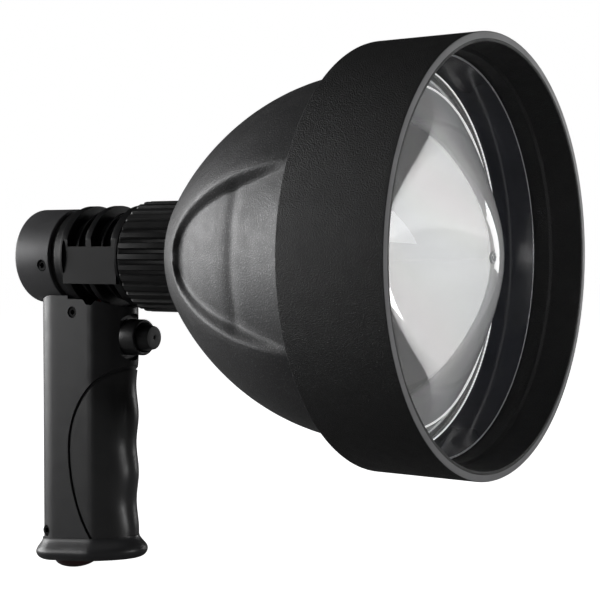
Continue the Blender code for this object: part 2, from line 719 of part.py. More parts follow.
def barrel():
    profile = [
        (SPIGOT_REAR, 0.0),
        (SPIGOT_REAR, SPIGOT_RADIUS),
        (BARREL_REAR, SPIGOT_RADIUS),
        (BARREL_REAR, BAND_RADIUS),
        (BAND_END - BAND_FLARE, BAND_RADIUS),
    ]
    half = SLOT_RIB_THICKNESS / 2
    collars = [(low, high, FIN_RADIUS) for low, high in FINS]
    collars += [(middle - half, middle + half, SLOT_RIB_RADIUS) for middle in SLOT_RIBS]
    for low, high, radius in sorted(collars):
        if low > BAND_END:
            profile.append((low, CORE_RADIUS))
        profile += [(low, radius), (high, radius)]
        if high < BARREL_FRONT:
            profile.append((high, CORE_RADIUS))
    profile.append((BARREL_FRONT, 0.0))
    body = lathe("barrel", profile, NECK_SEGMENTS, BARREL_PAINT)
    rear = FINS[0][1]
    front = FINS[-1][0]
    for side in (-1, 1):
        edges = sorted((side * FLAT_OFFSET, side * (FIN_RADIUS + OVERRUN)))
        low = (edges[0], -front, -FIN_RADIUS - OVERRUN)
        high = (edges[1], -rear, FIN_RADIUS + OVERRUN)
        boolean(body, box("flat", low, high))
        edges = sorted((side * CORE_RADIUS * 3 / 4, side * FLAT_OFFSET))
        low = (edges[0], -front - GAP, -RAIL_BOTTOM)
        high = (edges[1], -rear + GAP, RAIL_TOP)
        boolean(body, box("rail", low, high), "UNION")
    low = (-TANG_HALF_WIDTH, -TANG_FRONT, -TANG_BOTTOM)
    high = (TANG_HALF_WIDTH, -BARREL_REAR - GAP, -CORE_RADIUS + OVERRUN)
    boolean(body, box("tang", low, high), "UNION")
    sleeve_bore = SLEEVE_RADIUS + GAP
    shoulder = SLEEVE_REAR - GAP
    profile = [
        (SPIGOT_REAR - OVERRUN, 0.0),
        (SPIGOT_REAR - OVERRUN, BARREL_BORE),
        (shoulder, BARREL_BORE),
        (shoulder, sleeve_bore),
        (BARREL_FRONT + OVERRUN, sleeve_bore),
        (BARREL_FRONT + OVERRUN, 0.0),
    ]
    boolean(body, lathe("bore", profile, NECK_SEGMENTS))
    for name, (forward, z) in (("cap", CAP_SCREW), ("grip", GRIP_SCREW)):
        for side in (-1, 1):
            start = (side * STEM_RADIUS, -forward, z)
            end = (side * (CAP_RADIUS + OVERRUN), -forward, z)
            if name == "cap":
                start = (side * BARREL_BORE * 3 / 4, -forward, z)
            boolean(body, drill(f"{name}_tap", start, end, SHANK_RADIUS + GAP))
    for side in (-1, 1):
        x = side * LEAD_SPACING / 2
        start = (x, -LEAD_FORWARD, -LEAD_TOP)
        end = (x, -LEAD_FORWARD, -SLOT_RIB_RADIUS - OVERRUN)
        boolean(body, drill("lead_hole", start, end, LEAD_RADIUS + GAP))


def rear_cap():
    bore = SPIGOT_RADIUS + GAP
    profile = [(0.0, 0.0), (0.0, CAP_RADIUS - CAP_ROUNDING)]
    corner = CAP_ROUNDING * (1 - math.sqrt(1 / 2))
    profile.append((corner, CAP_RADIUS - corner))
    profile += [(CAP_ROUNDING, CAP_RADIUS), (CAP_LENGTH, CAP_RADIUS), (CAP_LENGTH, bore)]
    profile += [(CAP_FLOOR, bore), (CAP_FLOOR, 0.0)]
    cap = lathe("rear_cap", profile, NECK_SEGMENTS, CAP_PAINT)
    forward, z = CAP_SCREW
    for side in (-1, 1):
        start = (side * SPIGOT_RADIUS * 3 / 4, -forward, z)
        end = (side * (CAP_RADIUS + OVERRUN), -forward, z)
        boolean(cap, drill("cap_hole", start, end, HEAD_RADIUS + GAP))
    rear = CAP_LENGTH + GAP
    front = BARREL_REAR - GAP
    outer = bore + SEAL_THICKNESS
    profile = [
        (rear, bore + SEAL_BEVEL),
        (rear + SEAL_BEVEL, bore),
        (front - SEAL_BEVEL, bore),
        (front, bore + SEAL_BEVEL),
        (front, outer - SEAL_BEVEL),
        (front - SEAL_BEVEL, outer),
        (rear + SEAL_BEVEL, outer),
        (rear, outer - SEAL_BEVEL),
    ]
    lathe("cap_oring", profile, NECK_SEGMENTS, SEAL_RUBBER)


def side_screw(name, side, place, surface):
    """A socket screw across the lamp, its head's face just inside the surface it enters."""
    forward, z = place
    face = surface - SCREW_RECESS
    neck = face - HEAD_LENGTH
    made = bmesh.new()
    rings = []
    profile = (
        (face - HEX_DEPTH, HEX_RADIUS, 6),
        (face, HEX_RADIUS, 6),
        (face, HEAD_RADIUS, 0),
        (neck, HEAD_RADIUS, 0),
        (neck, SHANK_RADIUS, 0),
        (neck - SHANK_LENGTH, SHANK_RADIUS, 0),
    )
    for x, radius, sides in profile:
        ring = []
        for i in range(SCREW_SEGMENTS):
            turn = math.tau * i / SCREW_SEGMENTS
            across = radius
            if sides:
                corner = math.tau / sides
                across = radius * math.cos(corner / 2) / math.cos(turn % corner - corner / 2)
            point = (side * x, -forward + across * math.cos(turn), z + across * math.sin(turn))
            ring.append(made.verts.new(point))
        rings.append(ring)
    bridge(made, rings, False)
    add(name, made, SCREW_STEEL)


def side_screws():
    for side, hand in ((-1, "right"), (1, "left")):
        surface = math.sqrt(CAP_RADIUS**2 - CAP_SCREW[1] ** 2)
        side_screw(f"cap_screw_{hand}", side, CAP_SCREW, surface)
        side_screw(f"grip_screw_{hand}", side, GRIP_SCREW, GRIP_HALF_WIDTH)
        surface = math.sqrt(GRIP_HALF_WIDTH**2 - (GRIP_REAR_CENTRE - FOOT_SCREW[0]) ** 2)
        side_screw(f"foot_screw_{hand}", side, FOOT_SCREW, surface)


def driver():
    front = DRIVER_FORWARD + DRIVER_THICKNESS
    edge = BARREL_BORE - GAP
    profile = [(DRIVER_FORWARD, 0.0), (DRIVER_FORWARD, edge), (front, edge), (front, 0.0)]
    lathe("driver_board", profile, NECK_SEGMENTS, BOARD_LAMINATE)
    rear = front + GAP
    end = rear + COIL_LENGTH
    profile = [(rear, 0.0), (rear, COIL_RADIUS), (end, COIL_RADIUS), (end, 0.0)]
    lathe("driver_coil", profile, SMALL_SEGMENTS, COPPER, centre=(-COIL_OFFSET, COIL_OFFSET))
    low = (COIL_OFFSET - CHIP_SIZE / 2, -rear - CHIP_THICKNESS, COIL_OFFSET - CHIP_SIZE / 2)
    high = (COIL_OFFSET + CHIP_SIZE / 2, -rear, COIL_OFFSET + CHIP_SIZE / 2)
    box("driver_chip", low, high, CHIP_BLACK)
    for side, hand in ((-1, "right"), (1, "left")):
        x = side * LEAD_SPACING / 2
        start = (x, -LEAD_FORWARD, -PLATE_LOW + PLATE_THICKNESS + GAP)
        end = (x, -LEAD_FORWARD, -LEAD_TOP)
        drill(f"supply_lead_{hand}", start, end, LEAD_RADIUS, finish=LEAD_SLEEVE)


def finger_draw(z):
    """How far the nose is drawn in at a height, one shallow wave to each finger."""
    down = -z - FINGER_START
    if not 0 < down < FINGER_PITCH * FINGER_COUNT:
        return 0.0
    return FINGER_DEPTH * (1 - math.cos(math.tau * down / FINGER_PITCH)) / 2


def grip_solid(name, inset, finish=None):
    heights = [-GRIP_TOP, -(GRIP_TOP + FINGER_START) / 2]
    rows = FINGER_ROWS * FINGER_COUNT
    heights += [-FINGER_START - FINGER_PITCH * i / FINGER_ROWS for i in range(rows + 1)]
    heights.append(-FOOT_DROP)
    rings = []
    for z in heights:
        width = GRIP_HALF_WIDTH - inset
        front = GRIP_FRONT - inset - finger_draw(z)
        rings.append(grip_section(width, GRIP_REAR_CENTRE, GRIP_FLAT_END, front, z))
    return loft(name, rings, finish)


def foot_place(obj):
    """Moves an object made on the level to the foot's sloping underside."""
    obj.location = (0.0, -GRIP_REAR_CENTRE, -FOOT_DROP)
    obj.rotation_euler = (-FOOT_SLOPE, 0.0, 0.0)


def insert_solid(name, inset):
    """An egg across the grip: the arched edge of the finger grip, seen from the side."""
    rings = []
    for x in (-GRIP_HALF_WIDTH - OVERRUN, GRIP_HALF_WIDTH + OVERRUN):
        ring = []
        for i in range(HEAD_SEGMENTS):
            turn = math.tau * i / HEAD_SEGMENTS
            height = (INSERT_RISE if turn < math.pi else INSERT_FALL) - inset
            across = (INSERT_REACH - inset) * math.cos(turn)
            ring.append((x, across - INSERT_FORWARD, height * math.sin(turn) - INSERT_DROP))
        rings.append(ring)
    return loft(name, rings)


def grip():
    shell = grip_solid("grip_shell", 0.0, GRIP_PLASTIC)
    insert_cut = insert_solid("insert_bed", 0.0)
    boolean(insert_cut, grip_solid("insert_core", INSERT_SKIN + GAP))
    boolean(shell, insert_cut)
    deep = -FOOT_DROP - OVERRUN
    cavity = [stadium(CAVITY_HALF_WIDTH, CELL_REAR_FORWARD, CELL_FRONT_FORWARD, z) for z in (deep, 0.0)]
    boolean(shell, loft("cavity", cavity))
    cap_room = CAP_RADIUS + GAP
    fin_room = FIN_RADIUS + GAP
    step = BARREL_REAR
    far = GRIP_FRONT + OVERRUN
    profile = [(-OVERRUN, 0.0), (-OVERRUN, cap_room), (step, cap_room)]
    profile += [(step, fin_room), (far, fin_room), (far, 0.0)]
    boolean(shell, lathe("saddle", profile, NECK_SEGMENTS))
    for centre in POCKET_CENTRES:
        outline = (
            (centre - POCKET_HALF_TOP, -POCKET_TOP),
            (centre - POCKET_HALF_BOTTOM, -POCKET_DROP),
            (centre + POCKET_HALF_BOTTOM, -POCKET_DROP),
            (centre + POCKET_HALF_TOP, -POCKET_TOP),
        )
        wide = GRIP_HALF_WIDTH + OVERRUN
        rings = [[(x, -forward, z) for forward, z in outline] for x in (-wide, wide)]
        boolean(shell, loft("pocket", rings))
    far = SEAT_FORWARD + SEAT_RADIUS
    rings = [[(x, -forward, z) for x, z in seat_outline()] for forward in (SEAT_FORWARD, far)]
    boolean(shell, loft("seat", rings))
    start = (0.0, -CELL_FRONT_FORWARD, -BUTTON_DROP)
    end = (0.0, -SEAT_FORWARD - OVERRUN, -BUTTON_DROP)
    boolean(shell, drill("collar_hole", start, end, COLLAR_SHANK_RADIUS + GAP))
    for forward, z in (GRIP_SCREW, FOOT_SCREW):
        start = (-GRIP_HALF_WIDTH - OVERRUN, -forward, z)
        end = (GRIP_HALF_WIDTH + OVERRUN, -forward, z)
        boolean(shell, drill("screw_hole", start, end, HEAD_RADIUS + GAP))
    wide = GRIP_HALF_WIDTH + OVERRUN
    reach = GRIP_FRONT + OVERRUN
    base = box("foot_trim", (-wide, -reach, -BEAD_HEIGHT), (wide, wide, BEAD_HEIGHT + GAP))
    foot_place(base)
    boolean(shell, base)

    insert = grip_solid("finger_grip", 0.0, GRIP_RUBBER)
    boolean(insert, insert_solid("insert_edge", GAP), "INTERSECT")
    boolean(insert, grip_solid("insert_inside", INSERT_SKIN))
    boolean(insert, base)


def seat_outline():
    """The switch seat's outline across the nose: upright, with round ends."""
    outline = []
    half = SMALL_SEGMENTS // 2
    for centre, start in ((-BUTTON_DROP + SEAT_RISE, 0), (-BUTTON_DROP - SEAT_RISE, 1)):
        for i in range(half + 1):
            turn = math.pi * (start + i / half)
            outline.append((SEAT_RADIUS * math.cos(turn), centre + SEAT_RADIUS * math.sin(turn)))
    return outline


def bead_profile():
    """How far the foot stands out at each height: a rounded edge, then a hollow flare."""
    profile = []
    for i in range(BEAD_STEPS + 1):
        turn = math.pi / 2 * i / BEAD_STEPS
        z = BEAD_WIDEST * (1 - math.cos(turn))
        profile.append((z, (BEAD_BULGE + FOOT_UNDERCUT) * math.sin(turn) - FOOT_UNDERCUT))
    for i in range(1, BEAD_STEPS + 1):
        share = i / BEAD_STEPS
        z = BEAD_WIDEST + (BEAD_HEIGHT - BEAD_WIDEST) * share
        profile.append((z, BEAD_BULGE * (1 - share) ** 2 * (1 + 2 * share)))
    return profile


def foot():
    rings = []
    flat_end = GRIP_FLAT_END - GRIP_REAR_CENTRE
    front = FOOT_FRONT - GRIP_REAR_CENTRE
    for z, bulge in bead_profile():
        rings.append(grip_section(GRIP_HALF_WIDTH + bulge, 0.0, flat_end, front + bulge, z))
    cap = loft("foot_cap", rings, GRIP_PLASTIC)
    foot_place(cap)
    low = -FOOT_DROP + BEAD_HEIGHT / 2
    boss = [stadium(BOSS_HALF_WIDTH, CELL_REAR_FORWARD, CELL_FRONT_FORWARD, z) for z in (low, -BOSS_TOP)]
    boolean(cap, loft("boss", boss), "UNION")
    bore = drill(
        "socket_bore",
        (0.0, -SOCKET_FORWARD, -OVERRUN),
        (0.0, -SOCKET_FORWARD, SOCKET_HIGH + GAP + OVERRUN),
        SOCKET_RADIUS + GAP,
    )
    foot_place(bore)
    boolean(cap, bore)
    forward, z = FOOT_SCREW
    for side in (-1, 1):
        start = (side * SHANK_RADIUS, -forward, z)
        end = (side * (GRIP_HALF_WIDTH + OVERRUN), -forward, z)
        boolean(cap, drill("foot_tap", start, end, SHANK_RADIUS + GAP))
    middle = (0.0, -SOCKET_FORWARD)
    foot_place(lathe("charge_socket", socket_profile(), SMALL_SEGMENTS, CONTACT_METAL, middle, True))
    foot_place(lathe("charge_plug", plug_profile(), SMALL_SEGMENTS, PLUG_RUBBER, middle, True))


def socket_profile():
    return [
        (SOCKET_HIGH, 0.0),
        (SOCKET_HIGH, SOCKET_RADIUS),
        (SOCKET_LOW, SOCKET_RADIUS),
        (SOCKET_LOW, SOCKET_HOLE),
        (SOCKET_HOLE_TOP, SOCKET_HOLE),
        (SOCKET_HOLE_TOP, 0.0),
    ]


def plug_profile():
    profile = [(PLUG_STEM, 0.0), (PLUG_STEM, SOCKET_HOLE - GAP), (-GAP, SOCKET_HOLE - GAP)]
    for i in range(DOME_STEPS):
        turn = math.pi / 2 * i / DOME_STEPS
        profile.append((-GAP - PLUG_DOME * math.sin(turn), PLUG_RADIUS * math.cos(turn)))
    profile.append((-GAP - PLUG_DOME, 0.0))
    return profile


def cells():
    for hand, forward in (("rear", CELL_REAR_FORWARD), ("front", CELL_FRONT_FORWARD)):
        start = (0.0, -forward, -CELL_BOTTOM)
        end = (0.0, -forward, -CELL_TOP)
        cell = drill(f"battery_cell_{hand}", start, end, CELL_RADIUS, finish=CELL_WRAP)
        start = (0.0, -forward, -CELL_TOP - NUB_HEIGHT)
        end = (0.0, -forward, -CELL_TOP + NUB_HEIGHT)
        boolean(cell, drill(f"nub_{hand}", start, end, NUB_RADIUS), "UNION")
        low = -SPRING_LOW + SPRING_WIRE
        high = -CELL_BOTTOM - GAP - SPRING_WIRE
        coil(
            f"contact_spring_{hand}",
            (0.0, -forward),
            "Z",
            SPRING_RADIUS,
            SPRING_WIRE,
            SPRING_TURNS,
            low,
            high,
            SPRING_STEEL,
        )
    for name, low, finish in (
        ("contact_plate", -PLATE_LOW, CONTACT_METAL),
        ("contact_board", -BOSS_TOP + GAP, BOARD_LAMINATE),
    ):
        rings = []
        for z in (low, low + PLATE_THICKNESS):
            rings.append(stadium(BOSS_HALF_WIDTH, CELL_REAR_FORWARD, CELL_FRONT_FORWARD, z))
        loft(name, rings, finish)


def switch():
    middle = (0.0, -BUTTON_DROP)
    seat = SEAT_FORWARD + GAP
    bore = BUTTON_RADIUS + GAP
    profile = [
        (COLLAR_SHANK_REAR, STEM_RADIUS + GAP),
        (COLLAR_SHANK_REAR, COLLAR_SHANK_RADIUS),
        (seat, COLLAR_SHANK_RADIUS),
        (seat, COLLAR_RADIUS),
        (COLLAR_FRONT - COLLAR_EDGE, COLLAR_RADIUS),
        (COLLAR_FRONT, COLLAR_RADIUS - COLLAR_EDGE),
        (COLLAR_FRONT, bore),
        (COLLAR_WEB_FRONT, bore),
        (COLLAR_WEB_FRONT, STEM_RADIUS + GAP),
    ]
    lathe("switch_bezel", profile, SMALL_SEGMENTS, COLLAR_PLASTIC, middle)
    profile = [
        (BUTTON_FACE, 0.0),
        (BUTTON_FACE, BUTTON_FACE_RADIUS - BUTTON_EDGE),
        (BUTTON_FACE - BUTTON_EDGE, BUTTON_FACE_RADIUS),
        (COLLAR_FRONT, BUTTON_RADIUS),
        (BUTTON_SKIRT_REAR, BUTTON_RADIUS),
        (BUTTON_SKIRT_REAR, BUTTON_SKIRT_BORE),
        (BUTTON_ROOF, BUTTON_SKIRT_BORE),
        (BUTTON_ROOF, STEM_RADIUS),
        (STEM_REAR, STEM_RADIUS),
        (STEM_REAR, 0.0),
    ]
    lathe("trigger_button", profile, SMALL_SEGMENTS, BUTTON_RUBBER, middle)
    rear = COLLAR_WEB_FRONT + GAP + RETURN_WIRE
    front = BUTTON_ROOF - GAP - RETURN_WIRE
    coil(
        "trigger_spring",
        middle,
        "Y",
        RETURN_RADIUS,
        RETURN_WIRE,
        RETURN_TURNS,
        -rear,
        -front,
        SPRING_STEEL,
    )
    low = (-SWITCH_HALF_WIDTH, -SWITCH_FRONT, -PLATE_LOW + PLATE_THICKNESS + GAP)
    high = (SWITCH_HALF_WIDTH, -SWITCH_REAR, -SWITCH_TOP)
    box("switch_body", low, high, CHIP_BLACK)


hood()
lens_stack()
head_shell()
focus_ring()
neck_sleeve()
lamp_core()
barrel()
rear_cap()
side_screws()
driver()
grip()
foot()
cells()
switch()
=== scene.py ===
"""The handheld searchlight's looks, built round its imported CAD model.

Metres, +Z up, in the CAD's frame: the origin is the centre of the rear cap's flat back, and
the beam leaves along -Y. "Forward" is the distance in front of the cap's back, and "depth"
the distance behind the hood's front rim. The photograph's camera is on the -X, -Y side.
"""

import json
import math

import bmesh
import bpy
from mathutils import Matrix, Vector


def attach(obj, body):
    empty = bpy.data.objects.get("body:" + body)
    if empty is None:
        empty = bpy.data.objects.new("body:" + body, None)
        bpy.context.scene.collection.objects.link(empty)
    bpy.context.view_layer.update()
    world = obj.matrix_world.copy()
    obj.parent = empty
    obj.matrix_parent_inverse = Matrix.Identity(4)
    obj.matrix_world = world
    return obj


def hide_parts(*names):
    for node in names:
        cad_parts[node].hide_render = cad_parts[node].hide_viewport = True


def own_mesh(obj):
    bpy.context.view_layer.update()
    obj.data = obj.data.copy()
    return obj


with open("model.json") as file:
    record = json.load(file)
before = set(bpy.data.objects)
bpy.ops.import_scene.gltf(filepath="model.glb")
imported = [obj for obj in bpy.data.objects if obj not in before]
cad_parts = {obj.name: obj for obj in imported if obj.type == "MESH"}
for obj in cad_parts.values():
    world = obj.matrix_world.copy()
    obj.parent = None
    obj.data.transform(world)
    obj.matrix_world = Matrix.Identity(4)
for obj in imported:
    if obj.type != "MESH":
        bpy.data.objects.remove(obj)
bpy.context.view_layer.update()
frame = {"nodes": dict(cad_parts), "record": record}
nodes = frame["nodes"]

# Counts of segments and steps
FINE = 192
NECK = 144
ROUND = 96
SMALL = 64
SCREW = 40
COARSE = 24
ARC_STEPS = 4
QUARTER_STEPS = 14

# Clearances, cuts and rounded edges
GAP = 0.0003
OVERRUN = 0.003
OVERLAP = 0.001
NEAR = 0.001
MERGE = 1e-7
CUT_MERGE = 2e-6
CORNER_SHARE = 0.45
CORNER_TURN = math.radians(12)
SMOOTH_ANGLE = 28.0
BEVEL_LIMIT = math.radians(50)
FINE_ROUND = 0.0003
SOFT_ROUND = 0.0006

# Hood
LENGTH = 0.2213
HOOD_DEPTH = 0.043
HOOD_RADIUS = 0.0825
HOOD_DRAFT = 0.0007
HOOD_LIP = 0.0043
HOOD_LIP_GREY = 0.0028
HOOD_LIP_EDGE = 0.0002
HOOD_SOCKET = 0.0765
HOOD_STEP_DEPTH = 0.0125
HOOD_STEP = 0.001
HOOD_FLANGE = 0.002
LIP_FACING = 0.75

# Bezel and lens
STACK_RADIUS = HOOD_SOCKET - GAP
BEZEL_DEPTH = 0.020
BEZEL_LENGTH = 0.016
BEZEL_FRONT_WIDTH = 0.001
BEZEL_REAR_WIDTH = 0.0024
BEZEL_FACING = 0.6
LENS_TIP_DEPTH = 0.0014
LENS_RADIUS = 0.0705
LENS_FLANGE = 0.0016
LENS_RIM = 0.0014
LENS_RIM_RADIUS = 0.066
LENS_HOLLOW = 0.0045
LENS_STEEPNESS = 3.0
LENS_DEPTH = BEZEL_DEPTH + BEZEL_LENGTH + GAP
LENS_ROWS = 40
EDGE_RING_SHARE = 0.925
EDGE_RING = 0.00042
SEAT_RING = 0.0003
RING_STEPS = 12
GATE_RADIUS = 0.0021
GATE_HEIGHT = 0.0004
GATE_ROUND = 0.0001
GATE_RIM_SHARES = ((-1, 0.6), (1, 0.7), (1, 1), (-2, 1.1))
GATE_DOT_SHARES = ((-1, 0), (-1, 0.25), (0.5, 0.2), (0.5, 0))

# Head shell and its side panels
SHELL_RADIUS = 0.07145
SHELL_REAR_DEPTH = 0.1315
SHELL_TAPER_LENGTH = 0.113
SHELL_TAPER_POWER = 2.22
SHELL_WALL = 0.0022
SHELL_REAR_WALL = 0.0035
SHELL_FRONT_DEPTH = 0.0393
SHELL_NECK_DEPTH = 0.0407
SHELL_EDGE = 0.0010
SHELL_EDGE_SIDE = 0.0003
SLEEVE_RADIUS = 0.018
PANEL_DEPTH_START = 0.045
PANEL_LENGTH = 0.072
PANEL_HALF_HEIGHT = 0.036
PANEL_TIP = 0.0015
PANEL_END_POWER = 1.5
PANEL_BANK = 0.0045
PANEL_BANK_SHARE = 0.9
PANEL_FOOT_SHARE = 0.5
PANEL_FLATTENING = 0.32
PANEL_FRONT_FLOOR = 0.0714
PANEL_CREASE_DEPTH = 0.077
PANEL_CREASE_FLOOR = 0.0605
PANEL_CREASE = 0.0006
PANEL_CREASE_WIDTH = 0.0033
PANEL_REAR_SLOPE = 0.25
PANEL_REAR_CURVE = 6.5
PANEL_COLUMNS = 18
BANK_COLUMNS = 6
CROWN_COLUMNS = 40
PANEL_ROWS = 96
REAR_ROWS = 10
INSIDE_ROW_STEP = 4
ROW_MARGIN = 0.0005
LINING_FACING = 0.05
LINING_FLOOR_FACING = 0.9

# Focus ring
RING_REAR = 0.0593
RING_FRONT = 0.089
RING_RADIUS = 0.02335
RIB_COUNT = 32
RIB_DEPTH = 0.0012
RIB_POINTS = 14
RIB_FULLNESS = 0.85
RIB_STEEPNESS = 1.35
RING_REAR_CHAMFER = 0.0011
RING_REAR_CHAMFER_SHARE = 0.4
RING_REAR_EDGE = 0.0004
RING_SHOULDER = 0.0002
RING_FRONT_CHAMFER = 0.0012
RING_FRONT_EDGE = 0.0005
RING_TRIM = 0.0003

# Barrel
BARREL_REAR = 0.0231
BARREL_FRONT = 0.0585
SPIGOT_REAR = 0.005
SPIGOT_RADIUS = 0.0175
BARREL_BORE = 0.0152
CORE_RADIUS = 0.017
BAND_RADIUS = 0.0206
BAND_END = 0.0269
FLANGE_REAR = 0.0545
FIN_RADIUS = 0.0217
FINS = ((BAND_END, 0.0307), (0.0407, 0.0437), (FLANGE_REAR, BARREL_FRONT))
FIN_ROUND_SHARE = 0.4
SLOT_RIB_RADIUS = 0.019
SLOT_RIB_THICKNESS = 0.0012
SLOT_RIBS = (0.0346, 0.0480)
FLAT_OFFSET = 0.0204
FLAT_REACH = 0.03
RAIL_TOP = 0.0042
RAIL_BOTTOM = 0.0115
RAIL_PROUD = 0.00004
RAIL_ROOT_SHARE = 0.9
TANG_FRONT = 0.0315
TANG_BOTTOM = 0.030
TANG_HALF_WIDTH = 0.0085
BARREL_ROUND = 0.00028
BARREL_BEVEL = 0.00022

# Rear cap
CAP_LENGTH = 0.0196
CAP_RADIUS = 0.0205
CAP_FLOOR = 0.003
CAP_ROUNDING = 0.0012
CAP_STEPS = 6
CAP_EDGE = 0.0003
CAP_BEVEL = 0.00015
CAP_SCREW_SHARE = 0.75
SEAL_THICKNESS = 0.0012
SEAL_LIFT = 0.00005

# Grip, with its nose as shares of its half width and length
GRIP_HALF_WIDTH = 0.0121
GRIP_REAR_CENTRE = 0.0143
GRIP_FLAT_END = 0.036
GRIP_FRONT = 0.0502
GRIP_TOP = 0.016
GRIP_BEVEL = 0.0003
GRIP_ROWS = 64
GRIP_BACK_STEPS = 28
GRIP_SIDE_STEPS = 8
NOSE_SHARES = ((0.0, 1.0), (0.20, 0.97), (0.37, 0.90), (0.54, 0.78), (0.69, 0.62), (0.80, 0.45),
               (0.905, 0.25), (0.975, 0.10), (1.0, 0.0))
NOSE_STEPS = 4
CAVITY_HALF_WIDTH = 0.0094
CAVITY_STEPS = 12
CELL_REAR_FORWARD = 0.0138
CELL_FRONT_FORWARD = 0.0325
POCKET_CENTRES = (0.035, 0.049)
POCKET_DROP = 0.0207
POCKET_TOP = 0.0150
POCKET_HALF_TOP = 0.0065
POCKET_HALF_BOTTOM = 0.0014

# Finger grip
FINGER_START = 0.0432
FINGER_PITCH = 0.025
FINGER_COUNT = 3
FINGER_DEPTH = 0.0015
INSERT_REACH = 0.0377
INSERT_RISE = 0.0377
INSERT_FALL = 0.052
INSERT_FORWARD = 0.0605
INSERT_DROP = 0.083
INSERT_SKIN = 0.0008
INSERT_SEAM = 0.0015
INSERT_BEVEL = 0.0004

# Foot and plug
FOOT_SLOPE = math.radians(5)
FOOT_DROP = 0.1326
FOOT_FRONT = 0.0515
FOOT_UNDERCUT = 0.001
FOOT_HOLE_RADIUS = 0.0015
FOOT_HOLE_ROOT = 0.0012
BEAD_HEIGHT = 0.0096
BEAD_WIDEST = 0.0036
BEAD_BULGE = 0.0034
BEAD_CLEARANCE = 0.0001
BOSS_HALF_WIDTH = 0.0091
BOSS_TOP = 0.1165
SOCKET_FORWARD = 0.0027
SOCKET_RADIUS = 0.006
SOCKET_HIGH = 0.0135
SOCKET_HOLE = 0.0034
PLUG_RADIUS = 0.00935
PLUG_DOME = 0.00415
PLUG_STEM = 0.0085

# Screws, each with its place forward and up
HEAD_RADIUS = 0.0022
CAP_SCREW = (0.0156, -0.0039)
GRIP_SCREW = (0.0256, -0.024)
FOOT_SCREW = (0.0093, -0.120)

# Button and its collar
BUTTON_DROP = 0.0345
SEAT_FORWARD = 0.0475
SEAT_RADIUS = 0.0084
SEAT_RISE = 0.0017
SEAT_STEPS = 20
COLLAR_RADIUS = 0.0077
COLLAR_FRONT = 0.0558
COLLAR_SHANK_RADIUS = 0.006
COLLAR_SHANK_REAR = 0.0426
COLLAR_WEB_FRONT = 0.0505
BUTTON_RADIUS = 0.006
BUTTON_FACE_RADIUS = 0.0049
BUTTON_FACE = 0.061
BUTTON_SKIRT_REAR = 0.0536
BUTTON_SKIRT_BORE = 0.0048
BUTTON_ROOF = 0.0585
BUTTON_DOT = 0.0006
BUTTON_DOT_DEPTH = 0.0004
BUTTON_DOT_SHARE = 1.3
BUTTON_ROUND = 0.0004
STEM_RADIUS = 0.0025
STEM_REAR = 0.0440

# The camera, fitted to the photograph's outlines
FOCAL_MM = 93.6
SENSOR_MM = 36.0
CAMERA_PLACE = (-0.5183, -0.4756, 0.0029)
CAMERA_AIM = (0.8353, 0.5489, -0.0323)

# Each lamp's name, place, aim, width, height and watts
LAMPS = (
    ("key", (-0.33, 1.30, 0.19), (0.0, -0.08, -0.02), 1.3, 0.64, 18.5),
    ("top", (-0.2, 0.1, 1.4), (0.0, -0.08, 0.0), 1.0, 1.0, 1.5),
    ("front", (-0.25, -1.8, 0.5), (0.0, -0.1, 0.0), 0.6, 0.6, 2.6),
    ("side", (1.25, -0.50, 0.10), (0.0, -0.1, -0.05), 0.35, 0.6, 2.8),
    ("low", (-0.36, -1.55, -0.03), (0.0, -0.05, -0.08), 0.30, 0.17, 4.5),
)

# The world is brighter on its lit side; the camera sees it, and the floor, as white
LIT_SIDE = (-0.60, 0.78, 0.15)
WORLD_DARK = 0.16
WORLD_BRIGHT = 0.58
WORLD_TURN = -0.2
THROUGH_LENS = 0.83
FLOOR_Z = -0.1374
FLOOR_HALF = 6.0
FLOOR_TONE = 0.8
FLOOR_BOUNCE = 0.32
FLOOR_GLOW = 0.985
FLOOR_ROUGHNESS = 0.9

# What the finishes share, and the lens's clearness and the painted glow of its bright rings
BROAD_SCALE = 45.0
PATCH_SCALE = 160.0
ROUGH_SPREAD = 0.05
LENS_CLEAR = 0.9
RING_PAINTED_GLOW = 0.55


# Materials

def node(tree, kind, **values):
    made = tree.nodes.new(kind)
    for name, value in values.items():
        setattr(made, name, value)
    return made


def noise(tree, place, scale, detail=3.0):
    made = node(tree, "ShaderNodeTexNoise")
    made.inputs["Scale"].default_value = scale
    made.inputs["Detail"].default_value = detail
    made.inputs["Roughness"].default_value = 0.55
    tree.links.new(place, made.inputs["Vector"])
    return made.outputs["Fac"]


def spread(tree, source, low, high, start=0.3, end=0.7):
    """Maps a range of the source, such as a noise's middle range, to a range of values."""
    made = node(tree, "ShaderNodeMapRange")
    made.inputs["From Min"].default_value = start
    made.inputs["From Max"].default_value = end
    made.inputs["To Min"].default_value = low
    made.inputs["To Max"].default_value = high
    tree.links.new(source, made.inputs["Value"])
    return made.outputs["Result"]


